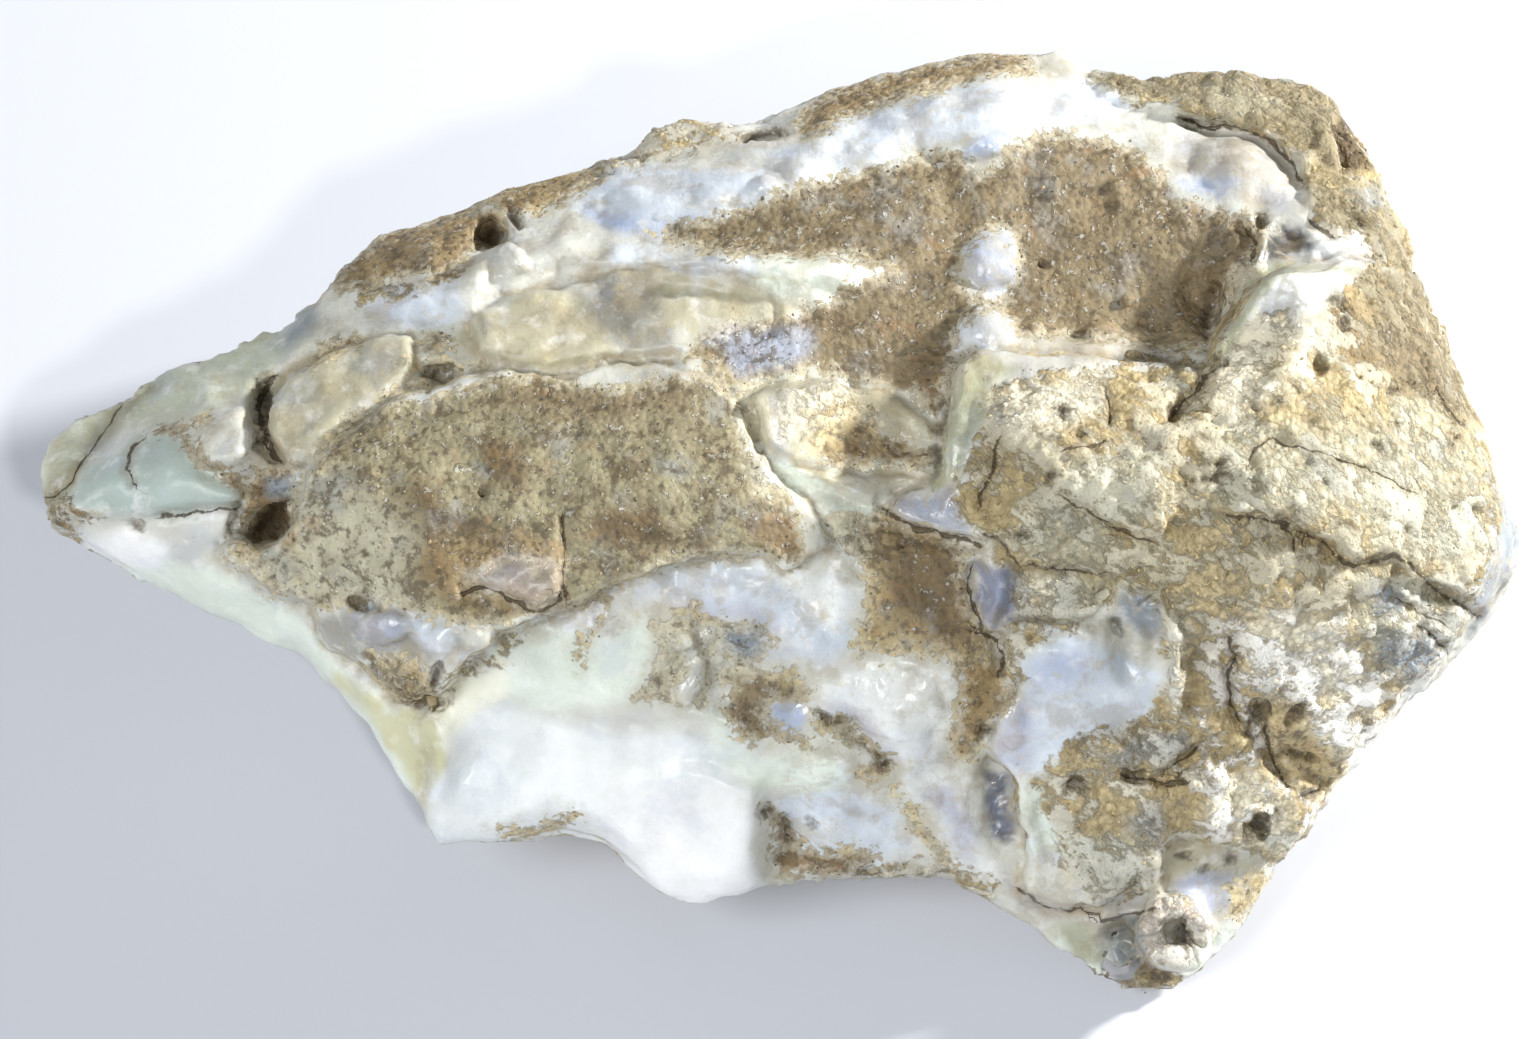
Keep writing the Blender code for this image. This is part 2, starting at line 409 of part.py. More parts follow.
def face_height(drawn):
    """Height above the table of the upper face at places on the drawing, in mm."""
    points = wander(drawn, *WARP, seed=4.0)
    height = ground_height(points)
    for plate in PLATES.values():
        height += plate_lift(points, plate)
    for line, half_width, rise in RIBS.values():
        height += line_lift(points, line, half_width, rise)
    for line, half_width, depth in GROOVES.values():
        height -= line_lift(points, line, half_width, depth)
    for mound in MOUNDS.values():
        height += mound_lift(points, *mound)
    lump, spacing = CRUMBLE
    for row, (across, up) in enumerate(drawn):
        height[row] += lump * noise.fractal(Vector((across / spacing, up / spacing, 9.0)), 0.8, 2.0, 3)
    return height + ring_lift(points)


def stand(drawn, height):
    """The point of the stone that is seen at this place on the drawing and has this height, in mm."""
    depth = (drawn[:, 1] - height * math.cos(VIEW_ANGLE)) / math.sin(VIEW_ANGLE)
    return np.column_stack([drawn[:, 0], depth, height])


def ray_to_outline(outline, centre, angles):
    """Where rays from the centre at these angles meet a closed outline, with any further columns carried along."""
    ring = np.array(outline, float)
    turn = np.arctan2(ring[:, 1] - centre[1], ring[:, 0] - centre[0])
    ring = ring[np.argsort(turn)]
    turn = np.sort(turn)
    ring = np.vstack([ring[-1], ring, ring[0]])
    turn = np.concatenate([[turn[-1] - 2 * math.pi], turn, [turn[0] + 2 * math.pi]])
    place = np.clip(np.searchsorted(turn, angles) - 1, 0, len(ring) - 2)
    start, step = ring[place], ring[place + 1] - ring[place]
    ray = np.column_stack([np.cos(angles), np.sin(angles)])
    out = start[:, :2] - centre
    share = (out[:, 1] * ray[:, 0] - out[:, 0] * ray[:, 1]) / (
        step[:, 0] * ray[:, 1] - step[:, 1] * ray[:, 0]
    )
    return start + share[:, None] * step


def upper_face(ball):
    """The ball's upper half laid over the drawing, with even spacing, and raised to its heights."""
    angles = np.arctan2(ball[:, 1], ball[:, 0])
    share = np.sqrt(np.clip(1.0 - ball[:, 2], 0.0, 1.0))
    rim = ray_to_outline(OUTLINE, DRAWING_CENTRE, angles)
    drawn = DRAWING_CENTRE + share[:, None] * (rim[:, :2] - DRAWING_CENTRE)
    inward = np.abs(depth_inside(drawn, [row[:2] for row in OUTLINE]))
    inward = np.where(share > 0.999, 0.0, inward)
    rounding = np.sqrt(1.0 - (1.0 - np.clip(inward / SHOULDER, 0.0, 1.0)) ** 2)
    height = rim[:, 2] + (face_height(drawn) - rim[:, 2]) * rounding
    return stand(drawn, height)


def side_of(edge, foot, outward, down):
    """Points of the sides: from the rim, first down and then in, to the foot of the stone."""
    inward = 1.0 - np.cos(down * math.pi / 2)
    side = edge + (foot - edge) * np.column_stack([inward, inward, np.sin(down * math.pi / 2)])
    belly = np.sin(math.pi * down) * smooth(edge[:, 2] / FULL_SIDE)
    side += outward * (SIDE_BULGE * belly)[:, None]
    away_from_ends = smooth(down / 0.45) * smooth((1.0 - down) / 0.25)
    for facing, reach in BREAKS:
        facing = np.array(facing) / np.linalg.norm(facing)
        beyond = np.clip((side - BODY_MIDDLE) @ facing - reach, 0.0, None) * away_from_ends
        side -= beyond[:, None] * facing
    height, spacing = SIDE_LUMPS
    for row, point in enumerate(side):
        lump = noise.fractal(Vector(point / spacing), 1.2, 2.0, 2)
        side[row] += outward[row] * lump * height * belly[row]
    return side


def underside(ball):
    """The ball's lower half: the sides, and the flat face that the stone rests on."""
    angles = np.arctan2(ball[:, 1], ball[:, 0])
    share = np.sqrt(np.clip(1.0 + ball[:, 2], 0.0, 1.0))
    rim = ray_to_outline(OUTLINE, DRAWING_CENTRE, angles)
    edge = stand(rim[:, :2], rim[:, 2])
    centre = np.mean(REST_FACE, axis=0)
    plan_angles = np.arctan2(edge[:, 1] - centre[1], edge[:, 0] - centre[0])
    corner = ray_to_outline(REST_FACE, centre, plan_angles)
    level = np.zeros(len(corner))
    foot = np.column_stack([corner, level])
    outward = np.column_stack([np.cos(plan_angles), np.sin(plan_angles), level - 0.35])
    down = np.clip((1.0 - share) / (1.0 - REST_SHARE), 0.0, 1.0)
    side = side_of(edge, foot, outward, down)
    inside = np.column_stack([centre + (corner - centre) * (share / REST_SHARE)[:, None], level])
    points = np.where(share[:, None] < REST_SHARE, inside, side)
    points[:, 2] = np.maximum(points[:, 2], 0.0)
    return points


def make_stone():
    mesh = bpy.data.meshes.new("rough_opal")
    shape = bmesh.new()
    bmesh.ops.create_icosphere(shape, subdivisions=BALL_SUBDIVISIONS, radius=1.0)
    ball = np.array([vert.co[:] for vert in shape.verts])
    ball /= np.linalg.norm(ball, axis=1)[:, None]
    above = ball[:, 2] >= 0.0
    points = np.empty_like(ball)
    points[above] = upper_face(ball[above])
    points[~above] = underside(ball[~above])
    points[:, :2] -= (points[:, :2].min(axis=0) + points[:, :2].max(axis=0)) / 2
    for vert, point in zip(shape.verts, points * MM):
        vert.co = point
    bmesh.ops.recalc_face_normals(shape, faces=shape.faces)
    shape.to_mesh(mesh)
    shape.free()

    stone = bpy.data.objects.new("rough_opal", mesh)
    fewer = stone.modifiers.new("fewer_faces", "DECIMATE")
    fewer.ratio = FINAL_TRIANGLES / BALL_TRIANGLES
    mesh.shade_smooth()
    mesh.set_sharp_from_angle(angle=math.radians(40))
    return stone


def opal_material():
    material = bpy.data.materials.new("weathered_opal")
    material.use_nodes = True
    surface = material.node_tree.nodes["Principled BSDF"]
    surface.inputs["Base Color"].default_value = (0.62, 0.56, 0.44, 1.0)
    surface.inputs["Roughness"].default_value = 0.55
    surface.inputs["Metallic"].default_value = 0.0
    return material


def main():
    for thing in list(bpy.data.objects):
        bpy.data.objects.remove(thing)
    specimen = bpy.data.collections.new("rough_opal")
    bpy.context.scene.collection.children.link(specimen)
    stone = make_stone()
    stone.data.materials.append(opal_material())
    specimen.objects.link(stone)


main()
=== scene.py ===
import math

import bpy
import numpy as np
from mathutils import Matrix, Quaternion, Vector, noise


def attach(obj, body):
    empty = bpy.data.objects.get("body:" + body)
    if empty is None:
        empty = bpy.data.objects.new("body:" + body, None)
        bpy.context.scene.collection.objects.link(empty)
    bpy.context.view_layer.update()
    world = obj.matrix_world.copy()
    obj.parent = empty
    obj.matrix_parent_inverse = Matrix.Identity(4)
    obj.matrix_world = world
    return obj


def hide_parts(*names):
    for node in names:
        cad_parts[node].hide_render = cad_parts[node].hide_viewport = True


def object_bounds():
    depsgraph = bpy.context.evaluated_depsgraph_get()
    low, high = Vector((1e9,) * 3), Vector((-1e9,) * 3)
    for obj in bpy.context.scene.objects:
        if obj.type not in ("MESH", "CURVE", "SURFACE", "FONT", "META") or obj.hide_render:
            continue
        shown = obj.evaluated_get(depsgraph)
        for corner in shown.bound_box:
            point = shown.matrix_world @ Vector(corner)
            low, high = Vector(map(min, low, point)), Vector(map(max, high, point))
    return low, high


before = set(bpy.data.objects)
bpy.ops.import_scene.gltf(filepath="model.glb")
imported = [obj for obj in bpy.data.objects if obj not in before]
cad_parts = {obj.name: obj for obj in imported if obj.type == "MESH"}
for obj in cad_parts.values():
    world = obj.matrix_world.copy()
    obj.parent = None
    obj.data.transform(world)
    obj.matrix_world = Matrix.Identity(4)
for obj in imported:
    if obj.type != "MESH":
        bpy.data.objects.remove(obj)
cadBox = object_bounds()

mm = 0.001

# The stone's markings are drawn flat, as the stone is seen from the front, viewAngle above the table.
# A place on the drawing is (across, up) in millimetres, with (0, 0) in the middle of the picture.
drawing = {
    "viewAngle": 65.0,  # degrees above the table
    "acrossShift": 0.82,  # from the stone's own middle to the drawing's
    "depthShift": -4.10,
    "middleHeight": 15.0,  # height above the table that the camera looks at
    "width": 75.95,  # what the picture takes in, left to right
    "lens": 300.0,
}

# Tints as they look on a screen, 0 to 1.
tints = {
    "milk": (0.93, 0.94, 0.92),
    "snow": (1.0, 1.0, 0.99),
    "paleGreen": (0.90, 0.93, 0.88),
    "duskyMilk": (0.83, 0.83, 0.79),
    "seaGreen": (0.70, 0.75, 0.72),
    "butter": (1.0, 1.0, 0.92),
    "milkBlue": (0.84, 0.87, 0.90),
    "deepBlue": (0.71, 0.76, 0.86),
    "lilac": (0.79, 0.80, 0.85),
    "slate": (0.56, 0.59, 0.61),
    "violetGray": (0.54, 0.56, 0.63),
    "oliveGray": (0.78, 0.79, 0.71),
    "grayGreen": (0.76, 0.78, 0.70),
    "oliveMilk": (0.68, 0.69, 0.59),
    "shadedMilk": (0.74, 0.73, 0.70),
    "paleBlue": (0.75, 0.79, 0.87),
    "blueSand": (0.66, 0.68, 0.73),
    "hollowSand": (0.52, 0.465, 0.355),
    # painted shade: dark grey for the facet on the far right, standing for the shade on it
    "paintedShadeGray": (0.26, 0.26, 0.27),
    # painted shade: a darker olive for the arris of the thin end
    "paintedArrisShadeOlive": (0.60, 0.59, 0.50),
    # painted shade for the valley beside the lower right block
    "paintedGrooveShade": (0.46, 0.48, 0.53),
    # the far corner's tan, darkened as painted shade on the far right faces
    "cornerTanWithPaintedShade": (0.56, 0.52, 0.41),
    # dark glassy opal, darkened further as painted shade in the bowl
    "darkGlassAndBowlShade": (0.40, 0.43, 0.42),
    "oliveBeige": (0.83, 0.82, 0.67),
    "cream": (0.96, 0.93, 0.83),
    "ochre": (0.80, 0.73, 0.56),
    "paleSand": (0.75, 0.73, 0.63),
    "dimGray": (0.55, 0.54, 0.50),
    "stoneMilk": (0.78, 0.77, 0.70),
    "brightMilk": (0.955, 0.97, 0.96),
    "warmGray": (0.64, 0.63, 0.59),
    "roseGray": (0.54, 0.51, 0.49),
    "plateSand": (0.60, 0.57, 0.455),
    "tan": (0.74, 0.67, 0.50),
    "graySand": (0.74, 0.72, 0.62),
    "brown": (0.60, 0.52, 0.37),
    "darkSand": (0.47, 0.40, 0.28),
    "darkGrain": (0.33, 0.29, 0.22),
    "paleGrain": (0.90, 0.89, 0.85),
    "umber": (0.33, 0.27, 0.18),
    "rust": (0.64, 0.46, 0.29),
    "pinkBrown": (0.66, 0.59, 0.54),
    "pinkCream": (0.90, 0.85, 0.79),
}

# Sandy crust: brown grains held in opal.
sandyAreas = [
    # front plate
    [(-22.8, 2.2), (-23.2, 0.2), (-23.9, -0.9), (-26.3, -1.0), (-26.7, -2.0), (-25.2, -2.8), (-24.4, -3.7),
        (-23.0, -3.9), (-22.2, -4.5), (-20.4, -4.4), (-19.8, -4.0), (-17.9, -4.2), (-16.6, -4.8),
        (-15.0, -5.2), (-13.6, -5.4), (-12.0, -5.0), (-9.6, -4.6), (-8.0, -3.9), (-5.6, -2.6), (-3.0, -2.0),
        (0.3, -1.7), (1.5, -2.4), (2.3, -1.6), (2.2, -0.4), (1.4, 1.4), (0.1, 1.9), (0.0, 3.0), (-0.6, 3.6),
        (-0.4, 5.6), (-1.8, 6.7), (-3.6, 7.3), (-5.2, 6.9), (-7.6, 6.6), (-9.5, 6.9), (-12.0, 7.4),
        (-14.8, 6.9), (-16.4, 6.0), (-18.4, 5.9), (-20.4, 5.4), (-21.6, 4.2), (-21.8, 3.0)],
    # far left shoulder
    [(-21.8, 12.1), (-20.4, 13.4), (-18.8, 14.8), (-16.0, 15.6), (-14.6, 16.0), (-12.6, 15.6), (-13.2, 14.0),
        (-14.4, 13.4), (-14.9, 12.3), (-17.0, 12.2), (-19.5, 11.6), (-21.0, 11.3)],
    [(-17.3, 8.9), (-16.8, 9.3), (-15.4, 9.3), (-15.0, 8.7), (-15.9, 8.2), (-16.8, 8.3)],
    [(-22.6, 8.2), (-21.6, 9.0), (-20.2, 9.3), (-19.8, 8.6), (-21.2, 8.0), (-22.6, 7.6)],
    # long hollow
    [(-5.5, 14.3), (-4.0, 15.0), (-1.8, 15.3), (0.4, 16.1), (2.4, 17.0), (6.2, 17.7), (8.2, 18.5),
        (10.0, 18.4), (11.2, 17.4), (12.8, 18.8), (14.8, 19.7), (17.4, 19.2), (19.3, 18.5), (20.2, 17.4),
        (20.6, 16.2), (22.2, 15.7), (24.6, 15.3), (25.4, 14.8), (25.0, 13.2), (24.0, 11.8), (23.1, 10.0),
        (22.4, 8.8), (21.4, 8.2), (18.6, 8.5), (15.0, 9.0), (12.8, 8.8), (11.2, 8.2), (9.8, 7.6), (9.2, 6.2),
        (8.8, 4.8), (7.9, 6.2), (6.0, 6.6), (4.8, 6.8), (3.2, 7.3), (1.6, 7.3), (0.0, 6.8), (-1.4, 6.3),
        (-2.6, 7.4), (-3.8, 8.0), (-3.0, 9.2), (-1.0, 9.8), (1.6, 10.4), (3.2, 11.0), (4.6, 11.8),
        (6.4, 12.3), (4.4, 13.0), (0.4, 13.0), (-2.6, 13.3)],
    [(2.2, 3.4), (2.6, 5.0), (4.6, 5.6), (6.0, 5.2), (6.2, 4.2), (8.4, 3.7), (8.4, 2.6), (3.6, 2.6)],
    # outer rims
    [(2.2, 19.3), (1.8, 20.3), (3.4, 21.8), (5.4, 22.5), (8.4, 23.3), (11.4, 23.9), (14.4, 23.8),
        (13.8, 22.4), (12.0, 22.3), (10.0, 22.0), (7.6, 21.3), (5.4, 20.5), (3.6, 19.6)],
    [(-14.4, 16.3), (-12.2, 17.3), (-9.5, 17.8), (-7.8, 18.0), (-8.4, 16.8), (-10.0, 15.9), (-12.0, 15.2),
        (-13.2, 15.7)],
    # brown window and the column under it
    [(4.6, -6.4), (5.0, -5.0), (5.4, -3.4), (4.9, -1.9), (3.0, -0.6), (3.6, 0.3), (6.2, 0.4), (8.0, -0.4),
        (10.2, -1.4), (10.3, -2.8), (10.6, -4.6), (11.3, -5.8), (11.9, -7.2), (12.3, -8.2), (12.4, -9.3),
        (11.4, -10.4), (10.6, -12.2), (9.5, -11.8), (9.8, -9.6), (10.0, -7.6), (9.2, -6.7), (6.8, -6.9)],
    # patches in the white opal
    [(-5.4, -4.9), (-3.2, -4.4), (-1.5, -4.9), (0.2, -5.4), (0.9, -6.3), (0.0, -6.9), (-0.2, -7.7),
        (1.6, -7.5), (2.6, -8.2), (2.5, -9.0), (0.8, -9.2), (0.3, -9.9), (1.8, -10.6), (2.6, -11.2),
        (0.8, -11.0), (0.0, -11.3), (-1.2, -10.9), (-1.7, -9.6), (-1.4, -8.4), (-2.4, -7.8), (-2.6, -9.2),
        (-3.1, -9.2), (-4.6, -9.1), (-6.3, -9.0), (-5.3, -7.8), (-4.9, -6.4)],
    [(2.7, -9.8), (4.0, -9.7), (5.2, -10.8), (6.7, -11.8), (6.5, -12.8), (5.4, -13.2), (4.9, -12.7),
        (6.0, -12.0), (4.4, -10.9), (3.0, -10.6)],
    [(6.7, -13.3), (7.6, -14.0), (8.3, -15.2), (9.0, -16.2), (10.2, -17.6), (8.9, -17.3), (8.1, -16.1),
        (7.0, -14.6)],
    [(0.1, -14.2), (1.0, -14.8), (1.8, -15.6), (2.6, -16.6), (4.4, -16.3), (6.0, -16.6), (6.0, -17.3),
        (4.0, -17.9), (1.0, -18.0), (0.6, -16.8), (0.7, -15.6)],
    # right-hand side
    [(24.4, -9.2), (25.6, -8.6), (27.2, -9.2), (28.0, -10.8), (29.6, -12.0), (29.8, -13.0), (28.2, -14.4),
        (27.0, -13.6), (25.8, -12.6), (25.3, -11.0)],
    [(23.8, -18.0), (24.8, -17.7), (25.8, -17.9), (25.3, -19.4), (24.4, -20.4), (23.4, -19.9)],
    # thin end
    [(-26.0, 1.4), (-25.2, 2.5), (-23.2, 2.6), (-22.9, 1.2), (-23.4, -0.8), (-24.6, -1.5), (-25.8, -0.4)],
    [(-19.4, -6.7), (-17.6, -6.6), (-16.6, -7.2), (-16.0, -8.6), (-17.4, -9.3), (-18.6, -8.6)],
]
sandyCuts = [
    [(-14.4, -3.2), (-13.2, -2.4), (-11.4, -1.9), (-10.1, -2.4), (-10.0, -3.8), (-10.9, -4.3),
        (-12.7, -3.6)],
    [(10.0, 12.4), (10.3, 13.6), (11.6, 14.5), (12.7, 14.2), (12.8, 12.8), (12.2, 11.4), (11.2, 11.1),
        (10.3, 11.6)],
    [(9.8, 8.6), (10.0, 9.6), (11.0, 10.5), (12.2, 10.2), (12.9, 9.2), (14.6, 9.0), (14.0, 8.3),
        (11.0, 8.1)],
    [(10.4, 18.2), (10.6, 19.2), (12.0, 19.6), (13.2, 19.2), (12.4, 18.2), (11.2, 17.9)],
    [(-4.4, -5.9), (-3.8, -5.5), (-3.3, -5.8), (-3.5, -6.4), (-4.1, -6.5)],
    [(-3.0, -5.5), (-2.4, -5.2), (-2.0, -5.5), (-2.3, -6.1), (-2.8, -6.1)],
    [(-3.8, -6.8), (-3.1, -6.5), (-2.7, -7.2), (-2.8, -8.6), (-3.6, -9.3), (-4.6, -9.2), (-4.4, -8.6),
        (-3.6, -8.0)],
    [(-2.3, -6.8), (-1.8, -6.5), (-1.6, -7.0), (-1.9, -7.6), (-2.3, -7.5)],
]
sandyStrokes = [
    # (line, half width)
    ([(-30.0, 4.5), (-28.8, 4.3), (-28.3, 3.4), (-27.6, 2.8), (-26.6, 2.5), (-26.0, 1.8)], 0.3),
    ([(-29.2, 4.6), (-28.4, 4.8), (-27.7, 5.1)], 0.2),
    ([(-17.6, 7.7), (-15.6, 7.6), (-13.8, 7.7)], 0.2),
    ([(-18.8, 6.0), (-17.6, 6.5), (-16.6, 6.9)], 0.35),
    ([(-7.5, -4.2), (-8.2, -5.3), (-8.9, -6.0), (-8.9, -7.0)], 0.2),
    ([(-12.8, -15.6), (-11.3, -15.7), (-9.2, -14.9)], 0.3),
]

# Freshly broken opal, clean and smooth.
freshAreas = [
    [(-15.8, -8.6), (-12.6, -6.6), (-8.4, -5.6), (-5.8, -6.4), (-6.6, -8.8), (-3.4, -9.8), (-0.6, -11.0),
        (1.4, -12.2), (0.2, -14.0), (0.2, -20.0), (-6.0, -19.6), (-10.0, -16.2), (-17.2, -17.2),
        (-16.2, -13.0)],
    [(-35.0, 1.0), (-33.0, 4.6), (-29.0, 4.6), (-26.4, 1.6), (-26.2, 0.4), (-27.6, -2.0), (-24.6, -4.4),
        (-20.6, -8.0), (-17.2, -10.6), (-17.4, -14.6), (-24.0, -7.6), (-34.4, -1.6)],
]

# Cream and ochre weathering skin.
crustAreas = [
    # right block
    [(9.4, 0.8), (10.4, 2.6), (10.9, 4.6), (11.6, 6.8), (14.0, 7.2), (18.0, 7.5), (21.8, 7.6), (23.0, 8.4),
        (24.6, 10.0), (26.0, 10.3), (28.2, 9.0), (28.6, 11.2), (30.2, 12.4), (31.0, 14.0), (33.8, 14.0),
        (34.8, 9.6), (36.6, 5.4), (37.4, 2.0), (36.4, -2.2), (34.8, -5.8), (31.2, -10.2), (29.4, -12.2),
        (27.6, -14.4), (26.6, -17.0), (24.6, -16.8), (23.4, -15.8), (20.4, -15.6), (19.9, -17.6),
        (19.6, -18.8), (17.0, -19.0), (15.4, -18.4), (15.0, -16.6), (14.0, -14.2), (13.8, -12.6),
        (15.2, -11.4), (17.0, -10.2), (19.4, -9.8), (20.2, -8.0), (20.1, -5.4), (19.8, -3.8), (17.8, -3.4),
        (16.4, -4.6), (15.0, -5.6), (12.4, -5.0), (12.8, -3.0), (11.6, -0.9), (10.0, -0.2)],
    [(12.2, -5.2), (13.4, -5.4), (15.0, -5.6), (13.6, -6.4), (12.9, -7.2), (13.0, -8.0), (12.2, -9.0),
        (11.4, -9.9), (12.0, -7.4)],
    # far right corner
    [(16.2, 22.4), (18.4, 22.8), (23.5, 23.2), (28.4, 22.4), (30.2, 20.6), (32.4, 16.6), (33.6, 13.6),
        (31.6, 13.0), (29.6, 14.2), (28.0, 15.0), (27.4, 17.2), (26.4, 19.0), (24.4, 19.8), (22.2, 20.2),
        (20.6, 20.8), (18.4, 21.2)],
    # middle of the wedge
    [(1.0, 6.4), (2.4, 6.6), (4.6, 6.1), (6.4, 5.4), (5.0, 4.8), (3.0, 5.2), (2.0, 3.8), (1.0, 4.6)],
    # rims
    [(-14.6, 16.0), (-12.0, 17.4), (-9.0, 18.0), (-7.4, 18.6), (-6.2, 19.6), (-5.0, 20.4), (-3.4, 20.6),
        (-1.6, 20.2), (-1.8, 19.2), (-4.4, 18.6), (-7.0, 17.6), (-9.4, 16.4), (-11.6, 15.4)],
    [(-36.6, 0.6), (-35.2, 1.2), (-34.0, 0.6), (-33.0, 0.0), (-34.4, -0.8), (-36.2, -0.4)],
]
crustStrokes = [
    ([(5.2, -17.5), (7.0, -17.7), (9.4, -17.5), (11.4, -18.7)], 0.35),
    ([(18.6, 8.0), (20.6, 8.0), (22.0, 7.8)], 0.3),
    ([(-19.8, 11.3), (-17.6, 11.6), (-15.2, 12.2)], 0.3),
    ([(17.7, -22.9), (19.0, -23.3), (20.6, -23.2)], 0.4),
    ([(-15.2, -8.0), (-13.6, -7.2), (-12.4, -6.2)], 0.25),
    # ring of the filled tube
    ([(22.2, -20.6), (21.8, -19.7), (20.85, -19.3), (19.9, -19.7), (19.5, -20.6), (19.9, -21.5),
        (20.85, -21.9), (21.8, -21.5), (22.2, -20.6)], 0.5),
]

